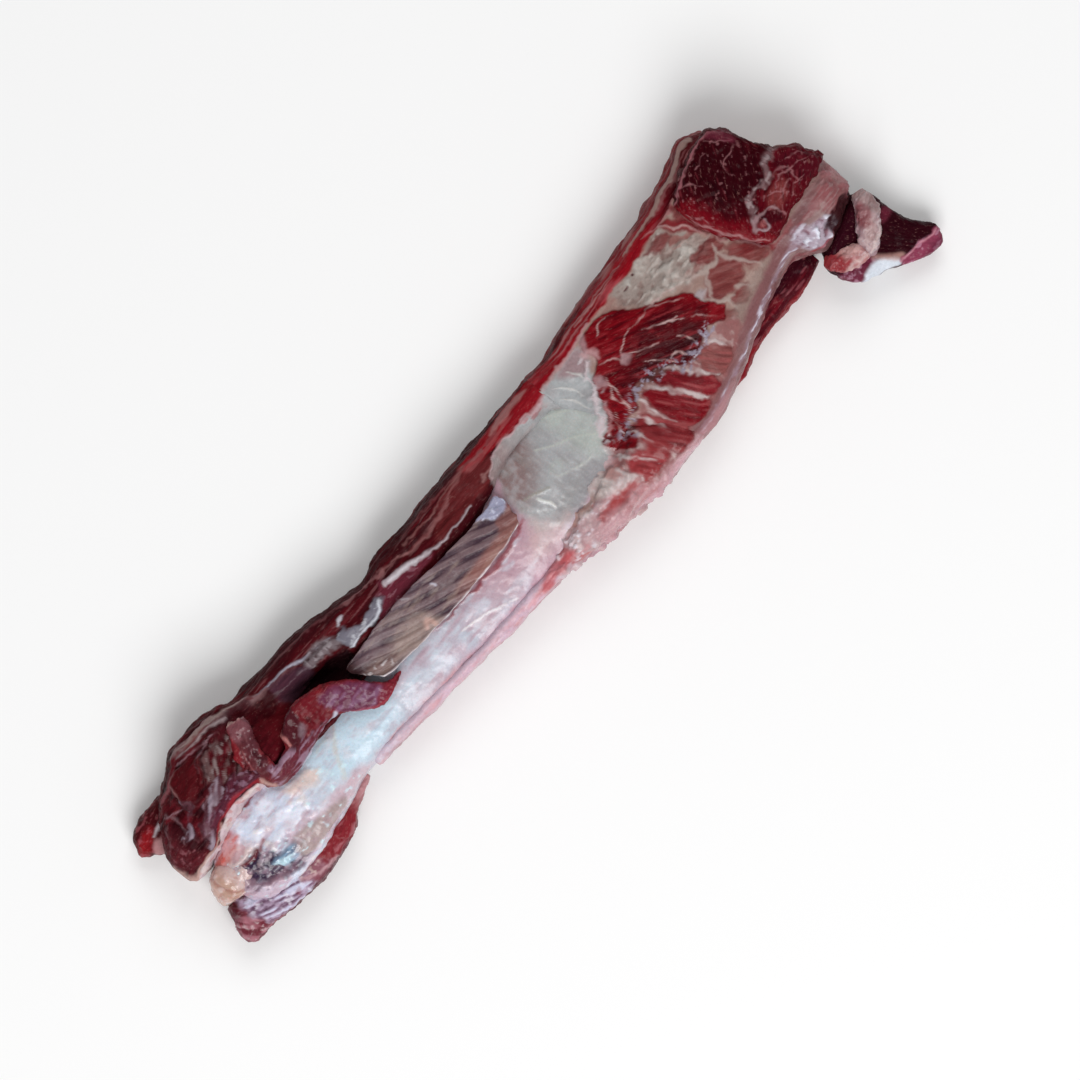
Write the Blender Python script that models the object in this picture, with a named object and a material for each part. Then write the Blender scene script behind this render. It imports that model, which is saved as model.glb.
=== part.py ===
"""A raw beef rib with its meat, lying on its flat underside, with the shown side up.

Metres, +Z up. X runs along the rib, from the knobbly joint end (-X) to the meaty end (+X).
Y runs across it. The tables are in millimetres, turned into metres by MM.
"""

import math

import bpy
import numpy as np
from mathutils import Vector, noise

MM = 0.001
PIECES = "beef_rib"
CUTTERS = "cutters"

# Driving dimensions
GAP = 0.3 * MM              # between neighbouring solids
FLOOR = 0.0                 # the flat underside
CUT_SOLVER = "MANIFOLD"     # these uneven forms nearly coincide, where EXACT leaves scraps
WOBBLE = 0.8 * MM           # height of the uneven surface of meat and fat
WOBBLE_SIZE = 11 * MM       # width of one of its waves
BONE_POWER = 2.5            # how square a section is: 2 is an ellipse
MEAT_POWER = 3.0
SLAB_POWER = 3.6
ROUND = 2.0

# Bars along X. Each row is a station: x, right edge y, left edge y, underside z, top z.
# What would lie under the floor is flattened on it.
BONE = MM * np.array([
    (-161, -6, 11, 6, 17),
    (-157.5, -10, 14, 2, 20.5),
    (-151, -13, 18, -1, 23.8),
    (-140, -15, 20.5, -1, 25.5),
    (-126, -14, 19.5, -1, 25),
    (-112, -11.5, 17, 1, 22.5),
    (-98, -9.5, 16, 2, 20.5),
    (-80, -10.5, 15.5, 2.5, 20),
    (-60, -13.5, 16.5, 3, 20),
    (-40, -15, 17.5, 3, 20),
    (-20, -16.5, 20, 3, 20.5),
    (0, -18, 23, 3, 21.6),
    (20, -21, 27, 3, 22.6),
    (40, -22, 28, 3.5, 22.4),
    (60, -20, 26, 4, 20.5),
    (100, -15, 27, 4.5, 19),
    (138, -7, 29, 5, 18),
    (146, -3, 25, 8, 15),
])
MEAT = MM * np.array([
    (-169.3, 15, 23, 8, 17),
    (-167, 13, 28, 4, 22),
    (-162, 12.5, 34, 0.5, 26),
    (-154, 13.2, 41, -2, 28),
    (-146, 15, 45.5, -2, 30),
    (-137, 16, 48.9, -2, 31),
    (-127, 15, 48.7, -2, 31),
    (-118, 12, 46.5, -2, 29.5),
    (-110, 10, 43.3, -2, 27),
    (-97, 10, 42.5, -2, 26),
    (-85, 10, 41.8, -2, 26),
    (-72, 12, 39.8, -2, 25.5),
    (-60, 12, 36.3, -2, 25),
    (-50, 12, 34.2, -2, 25),
    (-40, 12, 36, -2, 25),
    (-20, 14, 35.3, -2, 25),
    (0, 17, 35.5, -2, 25),
    (20, 21, 34.8, -2, 24.5),
    (37, 20, 34.6, -2, 24.6),
    (45, 8, 34.4, -2, 25),
    (52, -8, 34.2, -2, 25.6),
    (58, -20, 35.2, -2, 26.2),
    (65, -27.3, 35.9, -2, 26.9),
    (76, -26.9, 36.7, -2, 27.8),
    (90, -23.5, 37.6, -2, 28.5),
    (105, -18.5, 38.9, -2, 29),
    (120, -14, 41, -2, 29.5),
    (131, -12, 43.2, -2, 29.5),
    (139, -17, 45.5, -2, 29),
    (143, -19.5, 44, -2, 28.5),
    (147, -19.5, 41.3, -2, 28),
    (151, -19, 35.5, -2, 28),
    (154, -18, 25, -2, 27.5),
    (157, -16.5, 19.7, -1, 27),
    (161, -14.5, 15.7, 1, 26),
    (164.5, -12, 8, 4, 23),
    (166.3, -5, 4, 8, 18),
])
EDGE_FAT = MM * np.array([
    (-96, -10.9, -8, 8, 15),
    (-88, -11.7, -8, 5, 17),
    (-70, -13.5, -10, 4, 17.5),
    (-50, -15.8, -12, 4, 18),
    (-30, -17.8, -13.5, 4, 18.5),
    (-12, -19.2, -14, 3, 19.5),
    (0, -20.2, -13, 2, 21),
    (10, -22.6, -10, 1, 23),
    (20, -23.9, -8, 1, 24),
    (30, -25.5, -7, 1, 24.5),
    (40, -27, -5, 1, 25),
    (50, -27.5, -4, 1, 25.5),
    (60, -27.5, -10, 2, 25),
    (66, -26, -18, 6, 20),
])
TOP_MUSCLE = MM * np.array([
    (119.5, 23, 30, 25, 29),
    (121.5, 14, 32.5, 24, 31),
    (125, 7, 35, 23, 32.3),
    (129.5, -1, 37.5, 22, 33.2),
    (134, -2.8, 38.8, 21, 33.6),
    (141, -2, 39.8, 20, 33.6),
    (147, -1, 40.8, 20, 33.2),
    (151, -0.5, 36, 20, 33),
    (154, 0, 26.5, 20, 32.6),
    (157, 0.3, 20.5, 20, 32),
    (161, 0.6, 16, 20, 31),
    (165, 1.5, 8.2, 21, 29),
    (167.2, 3, 5, 23, 26.5),
])
UNDER_STRIP = MM * np.array([
    (84, -24.5, -21, 1, 8),
    (90, -24.8, -17, -1, 11),
    (100, -22.4, -13, -1, 13),
    (112, -21.5, -10, -1, 14),
    (124, -21.9, -8, -1, 14.5),
    (134, -21, -8, -1, 14.5),
    (138.5, -20, -10, 1, 12),
])
END_MEAT = MM * np.array([
    (-173.6, -14.5, -11, 5, 9),
    (-171.5, -16.2, -7.5, 3, 12),
    (-167, -16.9, -1, 2, 14),
    (-161, -18, -2, 1, 15.5),
    (-152, -19.4, -8, 0.5, 16.5),
    (-140, -20.9, -9, 0.5, 17),
    (-128, -20.5, -9, 0.5, 16.5),
    (-119, -18.9, -9, 1, 15),
    (-113, -15.3, -9, 3, 13),
    (-107, -12.9, -8.5, 5, 12),
    (-101, -10.8, -8, 7, 11),
])
END_CARTILAGE = MM * np.array([
    (-168.9, 0.5, 3, 9, 13),
    (-167.3, -0.6, 6.8, 6, 16.5),
    (-164.5, -1.5, 10.3, 4, 19.5),
    (-160, -3, 11.5, 4, 21.6),
    (-155.5, -2, 9, 12, 22.8),
    (-151, 0, 6, 16, 22.6),
])
SIDE_MEAT = MM * np.array([
    (-174.2, 33, 35.5, 4, 7),
    (-172, 31.5, 39.5, 2, 9.5),
    (-167.5, 28, 41.9, 0.7, 12),
    (-161, 26, 42.7, 0.5, 13.5),
    (-154, 26, 42.5, 0.5, 13.5),
    (-148, 30, 39, 2, 11),
])

# Swells and hollows of the main meat's top: x, y, length, width, turn in degrees, height
MEAT_RELIEF = [
    (-84, 23, 12, 4.2, -14, -11),       # dark cavity behind the curled strip
    (-104, 31, 9, 4, -25, -3.5),
    (-137, 36, 15, 5, 12, 2.2),         # bundles of the lobe
    (-128, 27.5, 12, 3, 28, -4.0),
    (-152, 33, 2.2, 9, 0, -2.2),
    (-159, 27, 5, 6, 0, 1.5),
    (-76, 31.5, 22, 1.8, -11, -1.8),    # seams and bundles of the long side muscle
    (-62, 35.5, 16, 2.2, -14, 1.0),
    (-14, 31, 26, 2.4, 2, 1.3),
    (-22, 26.5, 24, 1.5, -8, -1.4),
    (72, 31, 34, 2.6, 4, 1.4),          # long band beside the fat
    (80, 12, 17, 8, -22, 1.5),          # fan muscle
    (58, 2, 6, 10, -25, 1.3),
    (100, 24, 10, 5, 0, -1.4),          # hollows in the lumpy fat
    (108, 6, 9, 6, 10, 0.8),
    (122, 35, 12, 1.6, 12, -2.4),       # seam beside the top muscle
    (78, -12, 9, 5, -50, 0.9),
    (49, 19, 10, 6, 40, -2.4),          # window beside the cut muscle
]

TOP_MUSCLE_RELIEF = [
    (143, 10.5, 15, 1.8, 24, -1.2),     # seam between the two muscles
    (134, 22, 8, 7, 0, 0.8),
    (152, 8, 8, 5, 0, 0.7),
]

# Strips across: each row is x, y, z, half width, half thickness, heading and tilt of the width
CURL = [
    (-67, 3.8, 21.9, 0.9, 1.0, 62, 4),
    (-71.5, 3.2, 22.4, 2.1, 1.5, 62, 8),
    (-77, 5.6, 23.4, 4.8, 1.9, 62, 14),
    (-82.6, 12.0, 25, 6.4, 2, 62, 20),
    (-90, 17.4, 26.6, 6.6, 2.1, 78, 26),
    (-98, 19.2, 27.4, 7.4, 2.1, 98, 28),
    (-105, 17.2, 27.4, 7.0, 2.0, 112, 32),
    (-111, 14.0, 27.2, 5.2, 1.9, 96, 44),
    (-117.5, 13.4, 27.2, 4.6, 1.9, 72, 48),
    (-122.2, 16, 27.8, 4.6, 1.9, 20, 40),
    (-122.2, 21.5, 29, 4.6, 1.9, -8, 24),
    (-120.6, 28, 30, 4.7, 1.9, -20, 16),
    (-116.8, 34, 30.6, 4.4, 1.7, -28, 12),
    (-114.6, 38, 30.8, 3.2, 1.1, -30, 8),
]

# The tail lies between two edges, x and y. Each roll's row is x, y, z, half width
TAIL_EDGE_LEFT = [(141, -19.5), (137.6, -25), (140.5, -33), (149, -38.6),
                  (157, -43.8), (164, -48), (170.6, -49.1)]
TAIL_EDGE_RIGHT = [(163, -14), (167.6, -19.5), (168, -26.5), (169.4, -34),
                   (172, -39), (174, -42.2), (173, -46.5)]
TAIL_MIDDLE_Z = [17, 14, 11, 9, 7.6, 6.8, 6]
TAIL_HALF_THICKNESS = [5, 5.6, 5.4, 5.0, 4.6, 4.0, 2.2]
UPRIGHT_ROLL = [(151.2, -32, 16.5, 2.0), (153.6, -29.6, 18.6, 3.6), (157, -26, 20.4, 4.3),
                (160.6, -22.4, 21.6, 4.3), (163.4, -18.6, 22, 3.9), (164.6, -14.6, 21.6, 2.4)]
LOWER_ROLL = [(139.2, -21.4, 17, 2.2), (141, -24.2, 18.4, 3.6), (145, -26.8, 18.8, 4.1),
              (149, -29, 17.8, 3.7), (151.6, -31, 16.2, 1.8)]

# The flap's two edges over its stations along X
FLAP_X = [-77, -75, -73, -71, -70, -60, -45, -30, -15, 0, 5]
FLAP_EDGE_RIGHT = [16.8, 13.5, 10.6, 7.8, 6.9, 4.8, 3.4, 2.6, 2.6, 4.0, 11.5]
FLAP_EDGE_LEFT = [19.2, 19.8, 20.0, 20.0, 20.0, 20.8, 20.4, 18.6, 17.0, 16.6, 17.4]
FLAP_THICKNESS = 1.8 * MM
FLAP_LIFT = 1.0 * MM        # over what it lies on, so that the two never touch
ROLL_FLATNESS = 0.85        # height of a roll against its width

# How finely the strips are drawn: sections along, points round each
CURL_STATIONS, CURL_POINTS = 27, 10
TAIL_STATIONS, TAIL_POINTS = 13, 18
ROLL_STATIONS, ROLL_POINTS = 11, 12
FLAP_STATIONS, FLAP_POINTS = 19, 7
DRAPE_PASSES = 30
ABOVE_ALL = 1.0             # height from which the draped flap looks down

# Finishes: colour, roughness
FINISHES = {
    "rib_bone": ((0.62, 0.62, 0.63), 0.35),
    "rib_meat": ((0.20, 0.025, 0.03), 0.38),
    "edge_fat": ((0.60, 0.32, 0.29), 0.40),
    "top_muscle": ((0.11, 0.008, 0.014), 0.36),
    "under_strip": ((0.10, 0.01, 0.016), 0.40),
    "membrane_flap": ((0.27, 0.17, 0.13), 0.34),
    "curled_strip": ((0.27, 0.04, 0.06), 0.34),
    "tail_muscle": ((0.10, 0.01, 0.02), 0.36),
    "upright_roll": ((0.55, 0.33, 0.33), 0.36),
    "lower_roll": ((0.55, 0.20, 0.21), 0.34),
    "end_meat": ((0.25, 0.05, 0.08), 0.38),
    "end_cartilage": ((0.60, 0.42, 0.33), 0.32),
    "side_meat": ((0.20, 0.015, 0.025), 0.36),
}


def smooth_track(at, knots, values):
    """A smooth curve through the stations that never overshoots them."""
    knots = np.asarray(knots, float)
    values = np.asarray(values, float)
    step = np.diff(knots)
    slope = np.diff(values) / step
    lean = np.zeros(len(knots))
    same = slope[:-1] * slope[1:] > 0
    near = 2 * step[1:] + step[:-1]
    far = step[1:] + 2 * step[:-1]
    inner = (near + far)[same] / (near[same] / slope[:-1][same] + far[same] / slope[1:][same])
    lean[1:-1][same] = inner
    lean[0] = slope[0]
    lean[-1] = slope[-1]
    place = np.clip(np.searchsorted(knots, at) - 1, 0, len(step) - 1)
    t = (at - knots[place]) / step[place]
    start = values[place] * (1 + 2 * t) * (1 - t) ** 2 + lean[place] * step[place] * t * (1 - t) ** 2
    end = values[place + 1] * t * t * (3 - 2 * t) - lean[place + 1] * step[place] * t * t * (1 - t)
    return start + end


def section(count, power):
    """A rounded section of half width 1 and half height 1."""
    turn = np.arange(count) * 2 * math.pi / count
    wide = np.sign(np.cos(turn)) * np.abs(np.cos(turn)) ** (2 / power)
    high = np.sign(np.sin(turn)) * np.abs(np.sin(turn)) ** (2 / power)
    return wide, high


def swell(x, y, hills):
    """The height that the hills add over a point of the plan."""
    total = np.zeros(np.shape(x))
    for hill_x, hill_y, length, width, turn, height in hills:
        ahead = math.radians(turn)
        along = (x / MM - hill_x) * math.cos(ahead) + (y / MM - hill_y) * math.sin(ahead)
        across = -(x / MM - hill_x) * math.sin(ahead) + (y / MM - hill_y) * math.cos(ahead)
        total += height * MM * np.exp(-((along / length) ** 2) - (across / width) ** 2)
    return total


def uneven(points):
    """Small waves that push each point of a soft surface in or out."""
    return np.array([WOBBLE * noise.noise(Vector(p) / WOBBLE_SIZE) for p in points])


def closed_mesh(name, rings):
    """A closed skin over rings of points, with a fan over each end."""
    stations, count = rings.shape[:2]
    points = [tuple(p) for ring in rings for p in ring]
    faces = []
    for i in range(stations - 1):
        for j in range(count):
            a = i * count + j
            b = i * count + (j + 1) % count
            faces.append((a, b, b + count))
            faces.append((a, b + count, a + count))
    first, last = len(points), len(points) + 1
    points.append(tuple(rings[0].mean(axis=0)))
    points.append(tuple(rings[-1].mean(axis=0)))
    base = (stations - 1) * count
    for j in range(count):
        after = (j + 1) % count
        faces.append((first, after, j))
        faces.append((last, base + j, base + after))
    mesh = bpy.data.meshes.new(name)
    mesh.from_pydata(points, [], faces)
    mesh.update()
    return mesh


def outward(mesh):
    """Turns the faces out, whichever way the rings ran."""
    mesh.calc_loop_triangles()
    volume = 0.0
    for tri in mesh.loop_triangles:
        a, b, c = (mesh.vertices[i].co for i in tri.vertices)
        volume += a.dot(b.cross(c))
    if volume < 0:
        mesh.flip_normals()


def add_object(name, mesh, collection):
    outward(mesh)
    piece = bpy.data.objects.new(name, mesh)
    collection.objects.link(piece)
    return piece


def bar_rings(table, spacing, count, power, grow=0.0, hills=None):
    """Rings of a bar along X, from its table of stations."""
    stations = max(6, int(round((table[-1, 0] - table[0, 0]) / spacing)))
    along = np.linspace(table[0, 0], table[-1, 0], stations + 1)
    right, left, under, top = (smooth_track(along, table[:, 0], table[:, c]) for c in range(1, 5))
    wide, high = section(count, power)
    rings = np.empty((len(along), count, 3))
    rings[:, :, 0] = along[:, None]
    rings[:, :, 1] = ((left + right) / 2)[:, None] + ((left - right) / 2)[:, None] * wide
    rings[:, :, 2] = ((top + under) / 2)[:, None] + ((top - under) / 2)[:, None] * high
    upper = np.clip(high, 0, 1) ** 0.5
    if hills:
        rings[:, :, 2] += swell(rings[:, :, 0], rings[:, :, 1], hills) * upper
    waves = uneven(rings.reshape(-1, 3)).reshape(rings.shape[:2])
    rings[:, :, 1] += (waves + grow) * wide
    rings[:, :, 2] = np.maximum(rings[:, :, 2] + waves * high, FLOOR) + grow * high
    rings[0, :, 0] -= grow
    rings[-1, :, 0] += grow
    return rings


def strip_rings(centres, sides, half_widths, half_thicknesses, count, power, grow=0.0):
    """Rings of a strip along a path: each has its own width direction, width and thickness."""
    ahead = np.gradient(centres, axis=0)
    ups = np.cross(ahead, sides)
    ups /= np.linalg.norm(ups, axis=1)[:, None]
    wide, high = section(count, power)
    reach = (half_widths + grow)[:, None, None] * wide[None, :, None] * sides[:, None, :]
    rise = (half_thicknesses + grow)[:, None, None] * high[None, :, None] * ups[:, None, :]
    rings = centres[:, None, :] + reach + rise
    ahead /= np.linalg.norm(ahead, axis=1)[:, None]
    rings[0] -= grow * ahead[0]
    rings[-1] += grow * ahead[-1]
    return rings


def finer(rows, count):
    """The rows of a table, smoothed into more of them."""
    rows = np.asarray(rows, float)
    at = np.linspace(0, len(rows) - 1, count)
    knots = np.arange(len(rows))
    return np.stack([smooth_track(at, knots, rows[:, c]) for c in range(rows.shape[1])], axis=1)


def curl_rings(grow=0.0):
    rows = finer(CURL, CURL_STATIONS)
    heading = np.radians(rows[:, 5])
    tilt = np.radians(rows[:, 6])
    flat = np.cos(tilt)
    sides = np.stack([np.cos(heading) * flat, np.sin(heading) * flat, np.sin(tilt)], axis=1)
    half_widths = rows[:, 3] * MM
    half_thicknesses = rows[:, 4] * MM
    return strip_rings(rows[:, :3] * MM, sides, half_widths, half_thicknesses, CURL_POINTS, MEAT_POWER, grow)


def tail_rings(grow=0.0):
    left = finer(TAIL_EDGE_LEFT, TAIL_STATIONS) * MM
    right = finer(TAIL_EDGE_RIGHT, TAIL_STATIONS) * MM
    level = finer(np.array([TAIL_MIDDLE_Z, TAIL_HALF_THICKNESS]).T, TAIL_STATIONS) * MM
    middle = np.column_stack([(left + right) / 2, level[:, 0]])
    across = np.column_stack([right - left, np.zeros(len(left))])
    width = np.linalg.norm(across, axis=1)
    sides = across / width[:, None]
    return strip_rings(middle, sides, width / 2, level[:, 1], TAIL_POINTS, SLAB_POWER, grow)


def roll_rings(path, grow=0.0):
    rows = finer(path, ROLL_STATIONS) * MM
    ahead = np.gradient(rows[:, :3], axis=0)
    sides = np.cross(ahead, (0, 0, 1))
    sides /= np.linalg.norm(sides, axis=1)[:, None]
    return strip_rings(rows[:, :3], sides, rows[:, 3], rows[:, 3] * ROLL_FLATNESS, ROLL_POINTS, ROUND, grow)


def height_under(pieces, x, y):
    """The top of the pieces below a point of the plan."""
    best = FLOOR
    for piece in pieces:
        hit, place, _, _ = piece.ray_cast(Vector((x, y, ABOVE_ALL)), Vector((0, 0, -1)))
        if hit:
            best = max(best, place.z)
    return best


def flap_rings(below):
    """The thin flap, draped over what lies below it like a taut skin."""
    along = np.linspace(FLAP_X[0], FLAP_X[-1], FLAP_STATIONS)
    right = smooth_track(along, FLAP_X, FLAP_EDGE_RIGHT)
    left = smooth_track(along, FLAP_X, FLAP_EDGE_LEFT)
    share = np.linspace(0, 1, FLAP_POINTS)
    plan_y = (right[:, None] + (left - right)[:, None] * share) * MM
    plan_x = np.repeat(along[:, None], FLAP_POINTS, axis=1) * MM
    level = np.array([[height_under(below, x, y) for x, y in zip(*row)] for row in zip(plan_x, plan_y)])
    for _ in range(DRAPE_PASSES):
        level[:, 1:-1] = np.maximum(level[:, 1:-1], (level[:, :-2] + level[:, 2:]) / 2)
        level[1:-1] = np.maximum(level[1:-1], (level[:-2] + level[2:]) / 2)
    level += FLAP_LIFT
    under = np.stack([plan_x, plan_y, level], axis=2)
    over = under + np.array([0, 0, FLAP_THICKNESS])
    return np.concatenate([under, over[:, ::-1]], axis=1)


def apply_cut(piece, rings, collection, name):
    """Cuts a closed form out of a piece, and keeps the cutter as a guide."""
    cutter = add_object(name, closed_mesh(name, rings), collection)
    cutter.hide_render = True
    cutter.display_type = "WIRE"
    cut = piece.modifiers.new(name, "BOOLEAN")
    cut.operation = "DIFFERENCE"
    cut.object = cutter
    cut.solver = CUT_SOLVER


def finish_material(piece):
    colour, roughness = FINISHES[piece.name]
    material = bpy.data.materials.new(piece.name)
    material.use_nodes = True
    shader = material.node_tree.nodes["Principled BSDF"]
    shader.inputs["Base Color"].default_value = (*colour, 1.0)
    shader.inputs["Roughness"].default_value = roughness
    shader.inputs["Metallic"].default_value = 0.0
    piece.data.materials.append(material)
    for face in piece.data.polygons:
        face.use_smooth = True


for old in list(bpy.data.objects):
    bpy.data.objects.remove(old)

pieces = bpy.data.collections.new(PIECES)
cutters = bpy.data.collections.new(CUTTERS)
bpy.context.scene.collection.children.link(pieces)
bpy.context.scene.collection.children.link(cutters)

# Each bar: its stations, the spacing of its sections, the points round each, how square they are, its relief
BARS = {
    "rib_bone": (BONE, 12 * MM, 20, BONE_POWER, None),
    "rib_meat": (MEAT, 6 * MM, 32, MEAT_POWER, MEAT_RELIEF),
    "edge_fat": (EDGE_FAT, 8 * MM, 12, MEAT_POWER, None),
    "top_muscle": (TOP_MUSCLE, 4 * MM, 20, SLAB_POWER, TOP_MUSCLE_RELIEF),
    "under_strip": (UNDER_STRIP, 7 * MM, 12, MEAT_POWER, None),
    "end_meat": (END_MEAT, 5 * MM, 12, MEAT_POWER, None),
    "end_cartilage": (END_CARTILAGE, 3 * MM, 14, MEAT_POWER, None),
    "side_meat": (SIDE_MEAT, 3 * MM, 14, MEAT_POWER, None),
}


def rings_of(name, grow=0.0):
    if name in BARS:
        table, spacing, count, power, hills = BARS[name]
        return bar_rings(table, spacing, count, power, grow, hills)
    if name == "curled_strip":
        return curl_rings(grow)
    if name == "tail_muscle":
        return tail_rings(grow)
    if name == "upright_roll":
        return roll_rings(UPRIGHT_ROLL, grow)
    return roll_rings(LOWER_ROLL, grow)


# What is taken out of each piece: the neighbours that it lies round, on or against
CUTS = {
    "rib_bone": (),
    "top_muscle": (),
    "under_strip": ("rib_bone",),
    "rib_meat": ("rib_bone", "top_muscle", "under_strip"),
    "edge_fat": ("rib_bone", "rib_meat"),
    "end_meat": ("rib_bone",),
    "end_cartilage": ("rib_bone", "end_meat", "rib_meat"),
    "side_meat": ("rib_meat",),
    "curled_strip": ("rib_bone", "rib_meat"),
    "tail_muscle": ("rib_meat", "under_strip"),
    "upright_roll": ("tail_muscle", "rib_meat"),
    "lower_roll": ("tail_muscle", "rib_meat", "upright_roll", "under_strip"),
}

built = {}
for name, neighbours in CUTS.items():
    built[name] = add_object(name, closed_mesh(name, rings_of(name)), pieces)
    for neighbour in neighbours:
        cut_name = name + "_less_" + neighbour
        apply_cut(built[name], rings_of(neighbour, GAP), cutters, cut_name)

bpy.context.view_layer.update()
graph = bpy.context.evaluated_depsgraph_get()
below = [built[name].evaluated_get(graph) for name in ("rib_bone", "rib_meat")]
built["membrane_flap"] = add_object("membrane_flap", closed_mesh("membrane_flap", flap_rings(below)), pieces)

for piece in built.values():
    finish_material(piece)

# The origin is under the middle of the whole: every piece hangs on one empty that is moved there
shown = [piece.evaluated_get(graph) for piece in built.values()]
corners = [piece.matrix_world @ Vector(corner) for piece in shown for corner in piece.bound_box]
low = [min(c[i] for c in corners) for i in range(3)]
high = [max(c[i] for c in corners) for i in range(3)]
frame = bpy.data.objects.new("rib_frame", None)
pieces.objects.link(frame)
for thing in list(built.values()) + list(cutters.objects):
    thing.parent = frame
frame.location = (-(low[0] + high[0]) / 2, -(low[1] + high[1]) / 2, -low[2])
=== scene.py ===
import math

import bpy
import numpy as np
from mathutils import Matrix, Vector, noise


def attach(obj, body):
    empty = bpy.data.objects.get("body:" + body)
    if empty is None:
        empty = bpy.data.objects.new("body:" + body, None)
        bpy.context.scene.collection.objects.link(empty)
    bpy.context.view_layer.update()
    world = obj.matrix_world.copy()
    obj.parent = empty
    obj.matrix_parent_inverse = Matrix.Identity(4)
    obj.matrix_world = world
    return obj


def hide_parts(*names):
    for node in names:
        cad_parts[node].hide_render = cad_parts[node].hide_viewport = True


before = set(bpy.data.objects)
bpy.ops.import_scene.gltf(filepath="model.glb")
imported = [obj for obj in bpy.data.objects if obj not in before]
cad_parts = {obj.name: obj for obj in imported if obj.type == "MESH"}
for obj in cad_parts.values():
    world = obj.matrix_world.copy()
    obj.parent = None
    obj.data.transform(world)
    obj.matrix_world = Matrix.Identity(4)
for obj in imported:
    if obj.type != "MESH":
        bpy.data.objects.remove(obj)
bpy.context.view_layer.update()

# The rib bone in its skin. A flat bone, thick at the joint end, wrapped in wet bluish-white membrane that
# blushes pink where blood has soaked in. Past the flap it shows through a window of grey-green membrane,
# and further on it runs hidden under the meat.

MM = 0.001
FRAME_SHIFT = (0.0888, 0.158)      # mm, from the rib's own stations to the middle of the whole
FLOOR = 0.0                         # mm, the lowest that a piece reaches
WOBBLE = 0.8                        # mm, height of the large waves in every soft surface
WOBBLE_SIZE = 11.0                  # mm, their length
SHOULDER = 3.0                      # mm below the top where a side starts to count as its own width
CURVE_STEPS = 5                     # points between two corners of an outline
LATTICE = 64                        # random values along each side of the block that grit reads
END_RINGS = 3                       # rings over which the relief dies away at both ends of a piece

BONE = [(-161, -6, 11, 6, 17), (-157.5, -10, 14, 2, 20.5), (-151, -13, 18, -1, 23.8),
    (-140, -15, 20.5, -1, 25.5), (-126, -14, 19.5, -1, 25), (-112, -11.5, 17, 1, 22.5),
    (-98, -9.5, 16, 2, 20.5), (-80, -10.5, 15.5, 2.5, 20), (-60, -13.5, 16.5, 3, 20), (-40, -15, 17.5, 3, 20),
    (-20, -16.5, 20, 3, 20.5), (0, -18, 23, 3, 21.6), (20, -21, 27, 3, 22.6), (40, -22, 28, 3.5, 22.4),
    (60, -20, 26, 4, 20.5), (100, -15, 27, 4.5, 19), (138, -7, 29, 5, 18), (146, -3, 25, 8, 15)]


def smooth_track(at, knots, values):
    """A smooth curve through the stations that never overshoots them."""
    knots = np.asarray(knots, float)
    values = np.asarray(values, float)
    step = np.diff(knots)
    slope = np.diff(values) / step
    lean = np.zeros(len(knots))
    same = slope[:-1] * slope[1:] > 0
    near = 2 * step[1:] + step[:-1]
    far = step[1:] + 2 * step[:-1]
    inner = (near + far)[same] / (near[same] / slope[:-1][same] + far[same] / slope[1:][same])
    lean[1:-1][same] = inner
    lean[0] = slope[0]
    lean[-1] = slope[-1]
    place = np.clip(np.searchsorted(knots, at) - 1, 0, len(step) - 1)
    t = (at - knots[place]) / step[place]
    start = values[place] * (1 + 2 * t) * (1 - t) ** 2 + lean[place] * step[place] * t * (1 - t) ** 2
    end = values[place + 1] * t * t * (3 - 2 * t) - lean[place + 1] * step[place] * t * t * (1 - t)
    return start + end


def section(count, power, width, height, under=4.0):
    """A rounded section of half width 1 and half height 1, its points even and sparser underneath."""
    turn = np.linspace(0, 2 * math.pi, 4001)
    wide = np.sign(np.cos(turn)) * np.abs(np.cos(turn)) ** (2 / power)
    high = np.sign(np.sin(turn)) * np.abs(np.sin(turn)) ** (2 / power)
    step = np.hypot(np.diff(wide) * width, np.diff(high) * height)
    step /= np.where(high[1:] < -0.6, under, 1.0)
    run = np.concatenate([[0], np.cumsum(step)])
    even = np.linspace(0, run[-1], count, endpoint=False)
    return np.interp(even, run, wide), np.interp(even, run, high)


def swell(x, y, hills):
    """The height that the hills add, in mm: each is x, y, length, width, turn in degrees, height."""
    total = np.zeros(np.shape(x))
    for hill_x, hill_y, length, width, turn, height in hills:
        ahead = math.radians(turn)
        along = (x - hill_x) * math.cos(ahead) + (y - hill_y) * math.sin(ahead)
        across = -(x - hill_x) * math.sin(ahead) + (y - hill_y) * math.cos(ahead)
        total += height * np.exp(-((along / length) ** 2) - (across / width) ** 2)
    return total


def uneven(points):
    """The large waves of a soft surface, in mm."""
    return np.array([WOBBLE * noise.noise(Vector(p) / WOBBLE_SIZE) for p in points])


def bar(table, stations, count, power, hills=(), under=4.0):
    """Rings of a bar along X, in mm: its table holds x, right edge, left edge, underside and top."""
    table = np.asarray(table, float)
    right, left, low, top = (smooth_track(stations, table[:, 0], table[:, c]) for c in range(1, 5))
    wide, high = section(count, power, np.mean(left - right), np.mean(top - low), under)
    rings = np.empty((len(stations), count, 3))
    rings[:, :, 0] = stations[:, None]
    rings[:, :, 1] = ((left + right) / 2)[:, None] + ((left - right) / 2)[:, None] * wide
    rings[:, :, 2] = ((top + low) / 2)[:, None] + ((top - low) / 2)[:, None] * high
    upper = np.clip(high, 0, 1) ** 0.5
    rings[:, :, 2] += swell(rings[:, :, 0], rings[:, :, 1], hills) * upper
    waves = uneven(rings.reshape(-1, 3)).reshape(rings.shape[:2])
    rings[:, :, 1] += waves * wide
    rings[:, :, 2] = np.maximum(rings[:, :, 2] + waves * high, FLOOR)
    return rings


GRAINS = np.random.default_rng(51).random((LATTICE, LATTICE, LATTICE))


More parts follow.
